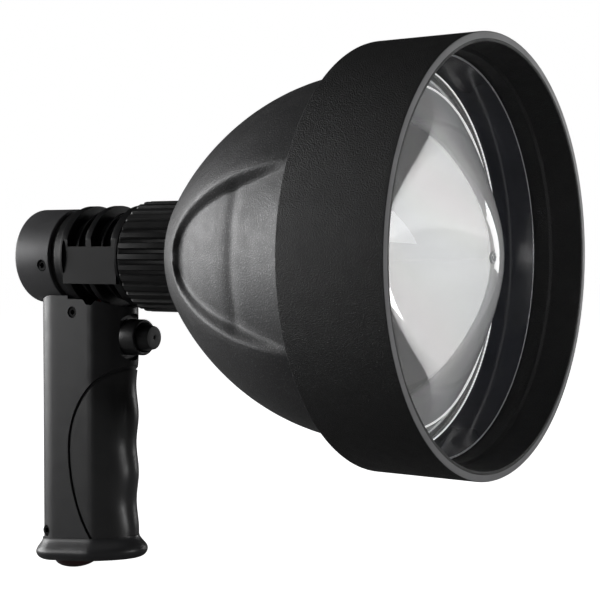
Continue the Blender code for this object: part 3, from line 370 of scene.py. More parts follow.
def finish(
    name,
    color,
    roughness,
    metallic=0.0,
    grain=1800.0,
    bump=0.25,
    depth=0.0001,
    mottle=0.12,
    speck=0.0,
    specular=0.5,
    stretch=(1.0, 1.0, 1.0),
):
    """A moulded, painted or turned surface: its colour drifts, and its grain is bumped."""
    made = bpy.data.materials.new(name)
    made.use_nodes = True
    tree = made.node_tree
    shader = tree.nodes["Principled BSDF"]
    shader.inputs["Metallic"].default_value = metallic
    shader.inputs["Specular IOR Level"].default_value = specular
    coords = node(tree, "ShaderNodeTexCoord").outputs["Object"]
    mapping = node(tree, "ShaderNodeMapping")
    mapping.inputs["Scale"].default_value = stretch
    tree.links.new(coords, mapping.inputs["Vector"])
    place = mapping.outputs["Vector"]
    fine = noise(tree, place, grain, 2.0)
    broad = noise(tree, coords, BROAD_SCALE)
    tone = node(tree, "ShaderNodeMix", data_type="RGBA")
    tone.inputs["A"].default_value = (*[c * (1 - mottle) for c in color], 1.0)
    tone.inputs["B"].default_value = (*[min(1.0, c * (1 + mottle)) for c in color], 1.0)
    tree.links.new(spread(tree, broad, 0.0, 1.0), tone.inputs["Factor"])
    shown = tone.outputs["Result"]
    if speck:
        flake = node(tree, "ShaderNodeMix", data_type="RGBA", blend_type="ADD")
        flake.inputs["B"].default_value = (speck, speck, speck, 1.0)
        tree.links.new(shown, flake.inputs["A"])
        tree.links.new(spread(tree, fine, 0.0, 1.0, 0.55, 0.75), flake.inputs["Factor"])
        shown = flake.outputs["Result"]
    tree.links.new(shown, shader.inputs["Base Color"])
    patches = noise(tree, coords, PATCH_SCALE)
    rough = spread(tree, patches, max(0.0, roughness - ROUGH_SPREAD), roughness + ROUGH_SPREAD)
    tree.links.new(rough, shader.inputs["Roughness"])
    if bump:
        relief = node(tree, "ShaderNodeBump")
        relief.inputs["Strength"].default_value = bump
        relief.inputs["Distance"].default_value = depth
        tree.links.new(fine, relief.inputs["Height"])
        tree.links.new(relief.outputs["Normal"], shader.inputs["Normal"])
    return made


def lens_finish():
    """Clear moulded plastic, with a faint drift of tint where the moulding is strained."""
    made = bpy.data.materials.new("clear_lens")
    made.use_nodes = True
    tree = made.node_tree
    shader = tree.nodes["Principled BSDF"]
    shader.inputs["Transmission Weight"].default_value = LENS_CLEAR
    shader.inputs["IOR"].default_value = 1.49
    coords = node(tree, "ShaderNodeTexCoord").outputs["Object"]
    bands = node(tree, "ShaderNodeTexWave", wave_type="BANDS", bands_direction="DIAGONAL")
    bands.inputs["Scale"].default_value = 9.0
    bands.inputs["Distortion"].default_value = 6.0
    bands.inputs["Detail"].default_value = 1.0
    tree.links.new(coords, bands.inputs["Vector"])
    ramp = node(tree, "ShaderNodeValToRGB")
    ramp.color_ramp.elements[0].color = (0.99, 0.965, 0.97, 1.0)
    ramp.color_ramp.elements[1].color = (0.965, 0.98, 0.99, 1.0)
    middle = ramp.color_ramp.elements.new(0.5)
    middle.color = (0.975, 0.99, 0.97, 1.0)
    tree.links.new(bands.outputs["Fac"], ramp.inputs["Fac"])
    tree.links.new(ramp.outputs["Color"], shader.inputs["Base Color"])
    rough = spread(tree, noise(tree, coords, 30.0), 0.0, 0.012)
    tree.links.new(rough, shader.inputs["Roughness"])
    relief = node(tree, "ShaderNodeBump")
    relief.inputs["Strength"].default_value = 0.04
    relief.inputs["Distance"].default_value = 0.002
    tree.links.new(noise(tree, coords, 22.0, 1.0), relief.inputs["Height"])
    tree.links.new(relief.outputs["Normal"], shader.inputs["Normal"])
    return made


MATERIALS = {
    "hood_rubber": finish(
        "hood_rubber", (0.0055, 0.0055, 0.0058), 0.52, grain=2100, bump=1.0, depth=0.0005
    ),
    "bezel_plastic": finish("bezel_plastic", (0.028, 0.030, 0.037), 0.12, grain=500, bump=0.03, mottle=0.2),
    "clear_lens": lens_finish(),
    "seal_rubber": finish("seal_rubber", (0.006, 0.006, 0.006), 0.6),
    "head_plastic": finish(
        "head_plastic", (0.072, 0.072, 0.074), 0.46, 0.4, 1800, 0.95, 0.00018, 0.10, speck=0.10
    ),
    "ring_plastic": finish("ring_plastic", (0.0095, 0.0095, 0.010), 0.43, grain=1500, bump=0.2),
    "barrel_paint": finish("barrel_paint", (0.0065, 0.0065, 0.0075), 0.40, 0.0, 2200, 0.3, specular=0.28),
    "cap_paint": finish("cap_paint", (0.110, 0.110, 0.114), 0.44, 0.25, 2400, 0.35, speck=0.03),
    "core_metal": finish("core_metal", (0.6, 0.6, 0.62), 0.33, 1.0, 900, 0.2, stretch=(1.0, 8.0, 1.0)),
    "screw_steel": finish("screw_steel", (0.004, 0.004, 0.004), 0.6, 0.0, 1500, 0.15, specular=0.15),
    "board_laminate": finish("board_laminate", (0.02, 0.12, 0.05), 0.4, grain=900, bump=0.1),
    "lamp_cap": finish("lamp_cap", (0.9, 0.78, 0.30), 0.15, grain=600, bump=0.05),
    "chip_black": finish("chip_black", (0.012, 0.012, 0.012), 0.45, grain=1500),
    "copper": finish("copper", (0.7, 0.32, 0.18), 0.3, 1.0, 1200, 0.4, stretch=(1.0, 6.0, 1.0)),
    "grip_plastic": finish("grip_plastic", (0.034, 0.034, 0.036), 0.40, grain=2200, bump=0.3, mottle=0.1),
    "grip_rubber": finish("grip_rubber", (0.033, 0.033, 0.034), 0.38, grain=1800, bump=0.35),
    "button_rubber": finish("button_rubber", (0.020, 0.020, 0.021), 0.42, grain=1600, bump=0.2),
    "collar_plastic": finish("collar_plastic", (0.018, 0.018, 0.019), 0.32, grain=1200, bump=0.12),
    "plug_rubber": finish("plug_rubber", (0.050, 0.022, 0.022), 0.36, grain=1500, bump=0.25),
    "cell_wrap": finish("cell_wrap", (0.05, 0.15, 0.35), 0.3, grain=400, bump=0.08),
    "contact_metal": finish("contact_metal", (0.75, 0.72, 0.65), 0.28, 1.0, 900, 0.15),
    "spring_steel": finish("spring_steel", (0.6, 0.6, 0.6), 0.28, 1.0, 1200, 0.1),
    "lead_sleeve": finish("lead_sleeve", (0.30, 0.010, 0.010), 0.45, grain=900, bump=0.1),
}
HOOD_FACE = finish("hood_face", (0.25, 0.25, 0.255), 0.5, grain=1500, bump=0.35, mottle=0.12)
# Painted highlight: the bezel's front face is painted light, for the bright line at its edge
BEZEL_PAINTED_HIGHLIGHT = finish("bezel_painted_highlight", (0.55, 0.56, 0.58), 0.25, 0.4, 500, 0.05)
# Painted highlight: the lens's bright rings are painted near white and given a painted glow
LENS_RING_PAINTED_HIGHLIGHT = finish("lens_edge", (0.95, 0.95, 0.97), 0.3, 0.0, 300, 0.1, mottle=0.2)
LENS_RING_PAINTED_HIGHLIGHT.node_tree.nodes["Principled BSDF"].inputs["Emission Strength"].default_value = RING_PAINTED_GLOW
BOWL_LINING = finish("bowl_lining", (0.93, 0.93, 0.94), 0.35, 0.85, 700, 0.05, mottle=0.05)
# Painted highlight: the clear lens's gate mark is painted light grey
GATE_PAINTED_HIGHLIGHT = finish("gate_mark", (0.75, 0.76, 0.78), 0.35, grain=900, bump=0.3)


# Meshes

def piece(name, made, slot, body, *replaced, angle=SMOOTH_ANGLE, extra=()):
    """Adds a bmesh as a finished piece, with its slot's material, riding on a body."""
    bmesh.ops.remove_doubles(made, verts=made.verts, dist=MERGE)
    bmesh.ops.recalc_face_normals(made, faces=made.faces)
    mesh = bpy.data.meshes.new(name)
    made.to_mesh(mesh)
    made.free()
    mesh.materials.append(MATERIALS[slot])
    for other in extra:
        mesh.materials.append(other)
    obj = bpy.data.objects.new(name, mesh)
    bpy.context.scene.collection.objects.link(obj)
    mesh.shade_smooth()
    mesh.set_sharp_from_angle(angle=math.radians(angle))
    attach(obj, body)
    if replaced:
        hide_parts(*replaced)
    return obj


def eased(share):
    """Goes from 0 to 1 with a level start and end."""
    return share * share * (3 - 2 * share)


def rounded(profile, radius, closed=False):
    """A profile with each corner rounded, by as much as its two sides allow."""
    count = len(profile)
    out = []
    for i, corner in enumerate(profile):
        if not closed and i in (0, count - 1):
            out.append(corner)
            continue
        here = Vector(corner)
        before = Vector(profile[i - 1]) - here
        after = Vector(profile[(i + 1) % count]) - here
        turn = math.pi - before.angle(after)
        if turn < CORNER_TURN:
            out.append(corner)
            continue
        longest = CORNER_SHARE * min(before.length, after.length)
        reach = min(radius * math.tan(turn / 2), longest)
        start = here + before.normalized() * reach
        end = here + after.normalized() * reach
        for step in range(ARC_STEPS + 1):
            share = step / ARC_STEPS
            point = start * (1 - share) ** 2 + here * 2 * share * (1 - share) + end * share**2
            out.append((point.x, point.y))
    return out


def grid(made, rings, wrap=False):
    """Joins rings of points in turn; a ring of one point is a tip, and open ends are closed."""
    rows = [[made.verts.new(point) for point in ring] for ring in rings]
    pairs = list(zip(rows, rows[1:]))
    if wrap:
        pairs.append((rows[-1], rows[0]))
    for low, high in pairs:
        count = max(len(low), len(high))
        for i in range(count):
            j = (i + 1) % count
            if len(low) == 1:
                made.faces.new((low[0], high[j], high[i]))
            elif len(high) == 1:
                made.faces.new((low[i], low[j], high[0]))
            else:
                made.faces.new((low[i], low[j], high[j], high[i]))
    if not wrap:
        for row in (rows[0], rows[-1]):
            if len(row) > 2:
                made.faces.new(row)


def turned(made, profile, segments, centre=(0.0, 0.0), upright=False):
    """Turns (along, radius) points about a line along Y, or along Z if upright."""
    rings = []
    for along, radius in profile:
        if radius == 0:
            flat = (centre[0], centre[1], along) if upright else (centre[0], -along, centre[1])
            rings.append([flat])
            continue
        ring = []
        for i in range(segments):
            turn = math.tau * i / segments
            x = centre[0] + radius * math.cos(turn)
            across = centre[1] + radius * math.sin(turn)
            ring.append((x, across, along) if upright else (x, -along, across))
        rings.append(ring)
    grid(made, rings, wrap=len(rings[0]) > 1)


def lathe(name, profile, slot, body, *replaced, segments=NECK, round_by=FINE_ROUND,
          centre=(0.0, 0.0), extra=()):
    """A turned piece; a profile that starts off the axis is closed, as a ring's is."""
    closed = profile[0][1] != 0
    made = bmesh.new()
    turned(made, rounded(profile, round_by, closed), segments, centre)
    return piece(name, made, slot, body, *replaced, extra=extra)


def solid(made):
    """A bare object from a bmesh, for cutting and joining."""
    bmesh.ops.recalc_face_normals(made, faces=made.faces)
    mesh = bpy.data.meshes.new("tool")
    made.to_mesh(mesh)
    made.free()
    obj = bpy.data.objects.new("tool", mesh)
    bpy.context.scene.collection.objects.link(obj)
    return obj


def block(low, high):
    made = bmesh.new()
    size = [high[i] - low[i] for i in range(3)]
    centre = [(high[i] + low[i]) / 2 for i in range(3)]
    place = Matrix.Translation(centre) @ Matrix.Diagonal((*size, 1.0))
    bmesh.ops.create_cube(made, size=1.0, matrix=place)
    return solid(made)


def rod(start, end, radius, segments=SMALL):
    made = bmesh.new()
    line = Vector(end) - Vector(start)
    turn = line.to_track_quat("Z", "Y").to_matrix().to_4x4()
    place = Matrix.Translation((Vector(start) + Vector(end)) / 2) @ turn
    bmesh.ops.create_cone(made, cap_ends=True, segments=segments, radius1=radius, radius2=radius,
                          depth=line.length, matrix=place)
    return solid(made)


def disc_solid(profile, segments):
    made = bmesh.new()
    turned(made, profile, segments)
    return solid(made)


def carve(obj, other, operation="DIFFERENCE"):
    """Applies an exact Boolean to obj's mesh, and removes the other object."""
    step = obj.modifiers.new("cut", "BOOLEAN")
    step.operation = operation
    step.solver = "EXACT"
    step.object = other
    graph = bpy.context.evaluated_depsgraph_get()
    mesh = bpy.data.meshes.new_from_object(obj.evaluated_get(graph))
    old = obj.data
    obj.modifiers.clear()
    obj.data = mesh
    bpy.data.meshes.remove(old)
    bpy.data.objects.remove(other)


def carved_piece(name, obj, slot, body, *replaced, bevel=0.0):
    """Turns a carved object into a piece, with its sharp edges rounded."""
    made = bmesh.new()
    made.from_mesh(obj.data)
    bpy.data.objects.remove(obj)
    bmesh.ops.remove_doubles(made, verts=made.verts, dist=CUT_MERGE)
    bmesh.ops.dissolve_degenerate(made, edges=made.edges, dist=CUT_MERGE)
    shown = piece(name, made, slot, body, *replaced)
    if bevel:
        step = shown.modifiers.new("edges", "BEVEL")
        step.width = bevel
        step.segments = 2
        step.limit_method = "ANGLE"
        step.angle_limit = BEVEL_LIMIT
        step.use_clamp_overlap = True
        step.harden_normals = True


# The head

def hood():
    """The rubber hood, with the outer part of its front lip in grey."""
    step_back = LENGTH - HOOD_STEP_DEPTH
    rear = LENGTH - HOOD_DEPTH
    outer = HOOD_RADIUS - HOOD_DRAFT
    profile = [
        (LENGTH, HOOD_RADIUS - HOOD_LIP + HOOD_LIP_EDGE),
        (LENGTH, HOOD_RADIUS - HOOD_LIP_GREY),
        (LENGTH, HOOD_RADIUS - HOOD_LIP_EDGE),
        (rear, outer),
        (rear, SHELL_RADIUS + GAP),
        (rear + HOOD_FLANGE, SHELL_RADIUS + GAP),
        (rear + HOOD_FLANGE, HOOD_SOCKET),
        (LENGTH - BEZEL_DEPTH - GAP, HOOD_SOCKET),
        (step_back - HOOD_STEP, HOOD_SOCKET),
        (step_back, HOOD_SOCKET + HOOD_STEP),
    ]
    hood_piece = lathe("hood_moulding", profile, "hood_rubber", "lamp_body", "bumper_hood",
                       segments=FINE, round_by=SOFT_ROUND, extra=(HOOD_FACE,))
    for face in hood_piece.data.polygons:
        reach = math.hypot(face.center.x, face.center.z)
        at_front = face.normal.y < -LIP_FACING and face.center.y < -LENGTH + NEAR
        if at_front and reach > HOOD_RADIUS - HOOD_LIP_GREY:
            face.material_index = 1


def lens_depth(share):
    """The depth of the lens's front at a share of its radius: a hyperbola."""
    rise = math.sqrt(1 + (LENS_STEEPNESS * share) ** 2) - 1
    return LENS_TIP_DEPTH + (LENS_DEPTH - LENS_TIP_DEPTH) * rise / (math.sqrt(1 + LENS_STEEPNESS**2) - 1)


def lens_retainer():
    """The bezel, with a painted highlight: its front face is painted light."""
    front = LENGTH - BEZEL_DEPTH
    back = front - BEZEL_LENGTH
    profile = [
        (front, STACK_RADIUS - BEZEL_FRONT_WIDTH),
        (front, STACK_RADIUS),
        (back, STACK_RADIUS),
        (back, STACK_RADIUS - BEZEL_REAR_WIDTH),
    ]
    ring = lathe("lens_retainer", profile, "bezel_plastic", "lamp_body", "lens_bezel",
                 segments=FINE, extra=(BEZEL_PAINTED_HIGHLIGHT,))
    # Painted highlight on the bezel's front-facing faces
    for face in ring.data.polygons:
        if face.normal.y < -BEZEL_FACING and face.center.y < -front + NEAR:
            face.material_index = 1


def lens_body():
    """The lens, with its pointed front, its flange and its hollow back."""
    back = LENGTH - LENS_DEPTH - LENS_FLANGE
    profile = [(LENGTH - LENS_TIP_DEPTH, 0.0)]
    for i in range(1, LENS_ROWS + 1):
        share = i / LENS_ROWS
        profile.append((LENGTH - lens_depth(share), share * LENS_RADIUS))
    profile += [(LENGTH - LENS_DEPTH, STACK_RADIUS), (back, STACK_RADIUS), (back, LENS_RIM_RADIUS)]
    for i in range(LENS_ROWS + 1):
        share = 1 - i / LENS_ROWS
        profile.append((back - LENS_RIM + LENS_HOLLOW * (1 - share**2), LENS_RIM_RADIUS * share))
    made = bmesh.new()
    turned(made, profile, FINE)
    piece("lens_moulding", made, "clear_lens", "lamp_body", "lens", angle=25.0)


def lens_rings():
    """Painted highlights: thin rings on the lens near its edge and where it meets the bezel, painted near
    white and glowing.
    """
    edge = LENGTH - lens_depth(EDGE_RING_SHARE)
    seat = LENGTH - LENS_DEPTH + SEAT_RING
    for name, middle, radius, thick in (
        ("lens_edge_highlight_ring", edge, LENS_RADIUS * EDGE_RING_SHARE, EDGE_RING),
        ("lens_seat_highlight_ring", seat, STACK_RADIUS - BEZEL_REAR_WIDTH, SEAT_RING),
    ):
        profile = []
        for i in range(RING_STEPS):
            turn = math.tau * i / RING_STEPS
            profile.append((middle + thick * math.cos(turn), radius - thick * math.sin(turn)))
        made = bmesh.new()
        turned(made, profile, FINE)
        ring = piece(name, made, "clear_lens", "lamp_body", angle=60.0)
        # The rings take the painted highlight, which glows
        ring.data.materials[0] = LENS_RING_PAINTED_HIGHLIGHT


def lens_gate():
    """The small moulded rim and dot at the lens's tip, painted light grey as a painted highlight."""
    tip = LENGTH - LENS_TIP_DEPTH
    rim, dot = (
        [(tip + GATE_HEIGHT * up, GATE_RADIUS * out) for up, out in shares]
        for shares in (GATE_RIM_SHARES, GATE_DOT_SHARES)
    )
    made = bmesh.new()
    turned(made, rounded(rim, GATE_ROUND, True), SMALL)
    turned(made, dot, SMALL)
    mark = piece("lens_gate_mark", made, "clear_lens", "lamp_body")
    # The whole mark takes the painted highlight
    mark.data.materials[0] = GATE_PAINTED_HIGHLIGHT


def shell_radius(depth):
    share = max(0.0, depth - HOOD_DEPTH) / SHELL_TAPER_LENGTH
    return SHELL_RADIUS * (1 - share**SHELL_TAPER_POWER)


def panel_half_height(depth):
    share = min(1.0, max(0.0, (depth - PANEL_DEPTH_START) / PANEL_LENGTH))
    return max(PANEL_TIP, PANEL_HALF_HEIGHT * math.sqrt(1 - share**PANEL_END_POWER))


def panel_floor(depth):
    """The side panel's radius at mid height: straight to the crease, then curving in."""
    if depth < PANEL_CREASE_DEPTH:
        share = (depth - PANEL_DEPTH_START) / (PANEL_CREASE_DEPTH - PANEL_DEPTH_START)
        floor = PANEL_FRONT_FLOOR + (PANEL_CREASE_FLOOR - PANEL_FRONT_FLOOR) * share
    else:
        past = depth - PANEL_CREASE_DEPTH
        floor = PANEL_CREASE_FLOOR - PANEL_REAR_SLOPE * past - PANEL_REAR_CURVE * past**2
    fold = math.exp(-((depth - PANEL_CREASE_DEPTH) / PANEL_CREASE_WIDTH) ** 2)
    return floor - PANEL_CREASE * fold


def panel_sink(depth, height):
    """How far the shell's side is sunk here: the panel has banks above, below and behind."""
    share = (depth - PANEL_DEPTH_START) / PANEL_LENGTH
    half = panel_half_height(depth)
    if not 0 < share < 1 or abs(height) >= half:
        return 0.0
    bank = eased(min(1.0, (half - abs(height)) / min(PANEL_BANK, half * PANEL_BANK_SHARE)))
    end = eased(min(1.0, (1 - share) * PANEL_LENGTH / PANEL_BANK))
    sink = max(0.0, shell_radius(depth) - panel_floor(depth))
    return sink * bank * end * (1 - PANEL_FLATTENING * (height / half) ** 2)


def shell_columns(depth):
    """The angle and height of each point round the shell, close together at the panels."""
    half = panel_half_height(depth)
    foot = max(half - PANEL_BANK, half * PANEL_FOOT_SHARE)
    heights = [-half + (half - foot) * i / BANK_COLUMNS for i in range(BANK_COLUMNS)]
    heights += [foot * (2 * i / PANEL_COLUMNS - 1) for i in range(PANEL_COLUMNS + 1)]
    heights += [foot + (half - foot) * (i + 1) / BANK_COLUMNS for i in range(BANK_COLUMNS)]
    side = [(math.asin(height / shell_radius(depth)), height) for height in heights]
    edge = side[-1][0]
    crown = [edge + (math.pi - 2 * edge) * i / CROWN_COLUMNS for i in range(1, CROWN_COLUMNS)]
    columns = side + [(angle, half) for angle in crown]
    columns += [(math.pi - angle, height) for angle, height in reversed(side)]
    columns += [(angle + math.pi, half) for angle in crown]
    return columns


def shell_ring(depth, forward, radius, sunk):
    """A ring of the shell's points, with the panels sunk in or not."""
    ring = []
    for angle, height in shell_columns(depth):
        across = radius - (panel_sink(depth, height) if sunk else 0.0)
        ring.append((across * math.cos(angle), -forward, across * math.sin(angle)))
    return ring


def head():
    """The bowl, from its bore out over its back to the front, and back along its inside."""
    panel_end = PANEL_DEPTH_START + PANEL_LENGTH
    rear = SHELL_REAR_DEPTH
    floor = LENGTH - rear + SHELL_REAR_WALL
    bore = SLEEVE_RADIUS + GAP
    outside = [rear - (rear - panel_end) * i / REAR_ROWS for i in range(REAR_ROWS)]
    outside += [panel_end - PANEL_LENGTH * i / PANEL_ROWS for i in range(PANEL_ROWS)]
    outside.append(PANEL_DEPTH_START - ROW_MARGIN)
    rings = []
    for lift, radius in (
        (0.0, bore),
        (0.0, shell_radius(rear) - SHELL_EDGE),
        (SHELL_EDGE_SIDE, shell_radius(rear) - SHELL_EDGE_SIDE),
    ):
        rings.append(shell_ring(rear, LENGTH - rear + lift, radius, False))
    rings += [shell_ring(depth, LENGTH - depth, shell_radius(depth), True) for depth in outside[1:]]
    for depth, radius in (
        (SHELL_NECK_DEPTH, SHELL_RADIUS),
        (SHELL_NECK_DEPTH, STACK_RADIUS),
        (SHELL_FRONT_DEPTH, STACK_RADIUS),
        (SHELL_FRONT_DEPTH, SHELL_RADIUS - SHELL_WALL),
    ):
        rings.append(shell_ring(HOOD_DEPTH, LENGTH - depth, radius, False))
    for depth in reversed(outside[1::INSIDE_ROW_STEP]):
        share = max(0.0, depth - HOOD_DEPTH) / SHELL_TAPER_LENGTH
        slope = SHELL_RADIUS * SHELL_TAPER_POWER / SHELL_TAPER_LENGTH * share ** (SHELL_TAPER_POWER - 1)
        across = SHELL_WALL / math.hypot(1, slope)
        forward = LENGTH - depth + across * slope
        if forward > floor + ROW_MARGIN:
            rings.append(shell_ring(depth, forward, shell_radius(depth) - across, True))
    rings.append(shell_ring(rear, floor, shell_radius(rear) - SHELL_WALL / 2, False))
    rings.append(shell_ring(rear, floor, bore, False))
    made = bmesh.new()
    grid(made, rings, wrap=True)
    bowl = piece("head_bowl", made, "head_plastic", "lamp_body", "head_shell", angle=32.0,
                 extra=(BOWL_LINING,))
    for face in bowl.data.polygons:
        facing = face.normal.x * face.center.x + face.normal.z * face.center.z
        inward = facing < -LINING_FACING * math.hypot(face.center.x, face.center.z)
        on_floor = face.normal.y < -LINING_FLOOR_FACING and face.center.y > -floor - NEAR
        if inward or on_floor:
            face.material_index = 1


# The neck, barrel and cap

def focus_ring():
    """The ribbed ring: each rib is rounded, and both of its ends are chamfered."""
    bore = SLEEVE_RADIUS + GAP
    valley = RING_RADIUS - RIB_DEPTH
    shoulder = valley + RING_SHOULDER
    chamfer_middle = RING_REAR + RING_REAR_CHAMFER * RING_REAR_CHAMFER_SHARE
    chamfer_end = RING_REAR + RING_REAR_CHAMFER
    # Forward, and the radius between the ribs and on them
    sections = [
        (RING_REAR, bore, bore),
        (RING_REAR, valley - RING_REAR_EDGE, valley - RING_REAR_EDGE),
        (chamfer_middle, shoulder, valley + RING_TRIM),
        (chamfer_end, shoulder, RING_RADIUS),
        (chamfer_end + RING_REAR_EDGE, valley, RING_RADIUS),
        (RING_FRONT - RING_FRONT_CHAMFER, valley, RING_RADIUS),
        (RING_FRONT - RING_FRONT_EDGE, valley, RING_RADIUS - RING_TRIM),
        (RING_FRONT, valley - RING_TRIM, valley),
        (RING_FRONT, bore, bore),
    ]
    rings = []
    for forward, low, high in sections:
        ring = []
        for i in range(RIB_COUNT * RIB_POINTS):
            turn = math.tau * i / (RIB_COUNT * RIB_POINTS)
            phase = (i % RIB_POINTS) / RIB_POINTS
            wave = RIB_FULLNESS + RIB_STEEPNESS * math.cos(math.tau * phase)
            radius = low + (high - low) * eased(min(1.0, max(0.0, wave)))
            ring.append((radius * math.cos(turn), -forward, radius * math.sin(turn)))
        rings.append(ring)
    made = bmesh.new()
    grid(made, rings, wrap=True)
    piece("focus_ring_ribs", made, "ring_plastic", "focus_ring_body", "focus_ring", angle=40.0)


def barrel():
    """The barrel is turned with its fins, cut flat at both sides, and given rails and a tang."""
    made = bmesh.new()
    outline = [(SPIGOT_REAR, BARREL_BORE), (SPIGOT_REAR, SPIGOT_RADIUS),
               (BARREL_REAR, SPIGOT_RADIUS), (BARREL_REAR, BAND_RADIUS)]
    collars = [(low, high, FIN_RADIUS) for low, high in FINS]
    half = SLOT_RIB_THICKNESS / 2
    collars += [(middle - half, middle + half, SLOT_RIB_RADIUS) for middle in SLOT_RIBS]
    for low, high, radius in sorted(collars):
        outline.append((low, CORE_RADIUS if low > BAND_END else BAND_RADIUS))
        outline += [(low, radius), (high, radius)]
        if high < BARREL_FRONT:
            outline.append((high, CORE_RADIUS))
    outline += [(BARREL_FRONT, SLEEVE_RADIUS + GAP), (FLANGE_REAR, SLEEVE_RADIUS + GAP),
                (FLANGE_REAR, BARREL_BORE)]
    turned(made, rounded(outline, BARREL_ROUND, True), NECK)
    body = solid(made)
    blocks = []
    rear = FINS[0][0] + (FINS[0][1] - FINS[0][0]) * FIN_ROUND_SHARE
    front = FINS[-1][1] - (FINS[-1][1] - FINS[-1][0]) * FIN_ROUND_SHARE
    for side in (-1, 1):
        edges = sorted((side * FLAT_OFFSET, side * (FIN_RADIUS + OVERRUN)))
        carve(body, block((edges[0], -front, -FLAT_REACH), (edges[1], -rear, FLAT_REACH)))
        edges = sorted((side * CORE_RADIUS * RAIL_ROOT_SHARE, side * (FLAT_OFFSET + RAIL_PROUD)))
        blocks.append(block((edges[0], -front - GAP, -RAIL_BOTTOM), (edges[1], -rear + GAP, RAIL_TOP)))
    low = (-TANG_HALF_WIDTH, -TANG_FRONT, -TANG_BOTTOM)
    high = (TANG_HALF_WIDTH, -BARREL_REAR - GAP, -CORE_RADIUS + OVERLAP)
    blocks.append(block(low, high))
    made = bmesh.new()
    for part in (body, *blocks):
        made.from_mesh(part.data)
    for part in blocks:
        bpy.data.objects.remove(part)
    made.to_mesh(body.data)
    made.free()
    carved_piece("barrel_casting", body, "barrel_paint", "lamp_body", "barrel", bevel=BARREL_BEVEL)


def rear_cap():
    """The cap, closed at the back, with a screw's hole in each side."""
    bore = SPIGOT_RADIUS + GAP
    profile = [(0.0, 0.0), (0.0, CAP_RADIUS - CAP_ROUNDING)]
    for i in range(1, CAP_STEPS + 1):
        turn = math.pi / 2 * i / CAP_STEPS
        radius = CAP_RADIUS - CAP_ROUNDING * (1 - math.sin(turn))
        profile.append((CAP_ROUNDING * (1 - math.cos(turn)), radius))
    profile += [(CAP_LENGTH - CAP_EDGE, CAP_RADIUS), (CAP_LENGTH, CAP_RADIUS - CAP_EDGE),
                (CAP_LENGTH, bore), (CAP_FLOOR, bore), (CAP_FLOOR, 0.0)]
    made = bmesh.new()
    turned(made, profile, NECK)
    cap = solid(made)
    forward, z = CAP_SCREW
    for side in (-1, 1):
        start = (side * SPIGOT_RADIUS * CAP_SCREW_SHARE, -forward, z)
        end = (side * (CAP_RADIUS + OVERRUN), -forward, z)
        carve(cap, rod(start, end, HEAD_RADIUS + GAP, SCREW))
    carved_piece("rear_cap_turning", cap, "cap_paint", "lamp_body", "rear_cap", bevel=CAP_BEVEL)


def cap_seal():
    """The ring in the groove between the cap and the barrel."""
    inner = SPIGOT_RADIUS + GAP + SEAL_LIFT
    outer = inner + SEAL_THICKNESS
    rear = CAP_LENGTH + GAP
    front = BARREL_REAR - GAP
    profile = [(rear, inner), (rear, outer), (front, outer), (front, inner)]
    lathe("cap_seal_ring", profile, "seal_rubber", "lamp_body", "cap_oring", round_by=SOFT_ROUND)


# The grip, foot and switch

def smoothed(points, steps):
    """A smooth curve through the points, with each span cut into steps."""
    ends = [points[0], *points, points[-1]]
    curve = []
    for before, start, end, after in zip(ends, ends[1:], ends[2:], ends[3:]):
        for i in range(steps):
            t = i / steps
            curve.append(tuple(
                start[k] + 0.5 * t * (end[k] - before[k] + t * (
                    2 * before[k] - 5 * start[k] + 4 * end[k] - after[k]
                    + t * (3 * (start[k] - end[k]) + after[k] - before[k])))
                for k in range(2)))
    return [*curve, points[-1]]


NOSE = smoothed([(-x, y) for x, y in reversed(NOSE_SHARES)] + list(NOSE_SHARES[1:]), NOSE_STEPS)


def rounded_back(half_width, rear_centre, z, steps=GRIP_BACK_STEPS):
    """Half a circle, from one side round the back to the other."""
    ring = []
    for i in range(steps + 1):
        turn = math.pi * (0.5 - i / steps)
        ring.append((half_width * math.sin(turn), half_width * math.cos(turn) - rear_centre, z))
    return ring


def grip_section(half_width, rear_centre, flat_end, front, z):
    """The grip's section: a nose, flat sides with points along them, and a round back."""
    ring = [(half_width * across, -flat_end - (front - flat_end) * along, z) for across, along in NOSE]
    steps = GRIP_SIDE_STEPS
    for i in range(1, steps):
        ring.append((half_width, -flat_end - (rear_centre - flat_end) * i / steps, z))
    ring += rounded_back(half_width, rear_centre, z)
    for i in range(1, steps):
        ring.append((-half_width, -rear_centre - (flat_end - rear_centre) * i / steps, z))
    return ring


def stadium(half_width, z):
    """A section inside the grip, with round ends about the two cells."""
    ring = rounded_back(half_width, CELL_REAR_FORWARD, z, CAVITY_STEPS)
    return ring + [(-x, -CELL_FRONT_FORWARD - CELL_REAR_FORWARD - y, z) for x, y, z in ring]


def finger_draw(z):
    """How far the finger grooves draw the grip's front in at a height."""
    down = -z - FINGER_START
    if not 0 < down < FINGER_PITCH * FINGER_COUNT:
        return 0.0
    return FINGER_DEPTH * (1 - math.cos(math.tau * down / FINGER_PITCH)) / 2


def grip_solid(inset):
    """The grip's outside as a solid, or the same a little way inside it."""
    heights = [-GRIP_TOP, -(GRIP_TOP + FINGER_START) / 2]
    reach = FINGER_PITCH * FINGER_COUNT
    heights += [-FINGER_START - reach * i / GRIP_ROWS for i in range(GRIP_ROWS + 1)]
    heights += [-FOOT_DROP]
    made = bmesh.new()
    grid(made, [grip_section(GRIP_HALF_WIDTH - inset, GRIP_REAR_CENTRE, GRIP_FLAT_END,
                             GRIP_FRONT - inset - finger_draw(z), z) for z in heights])
    return solid(made)


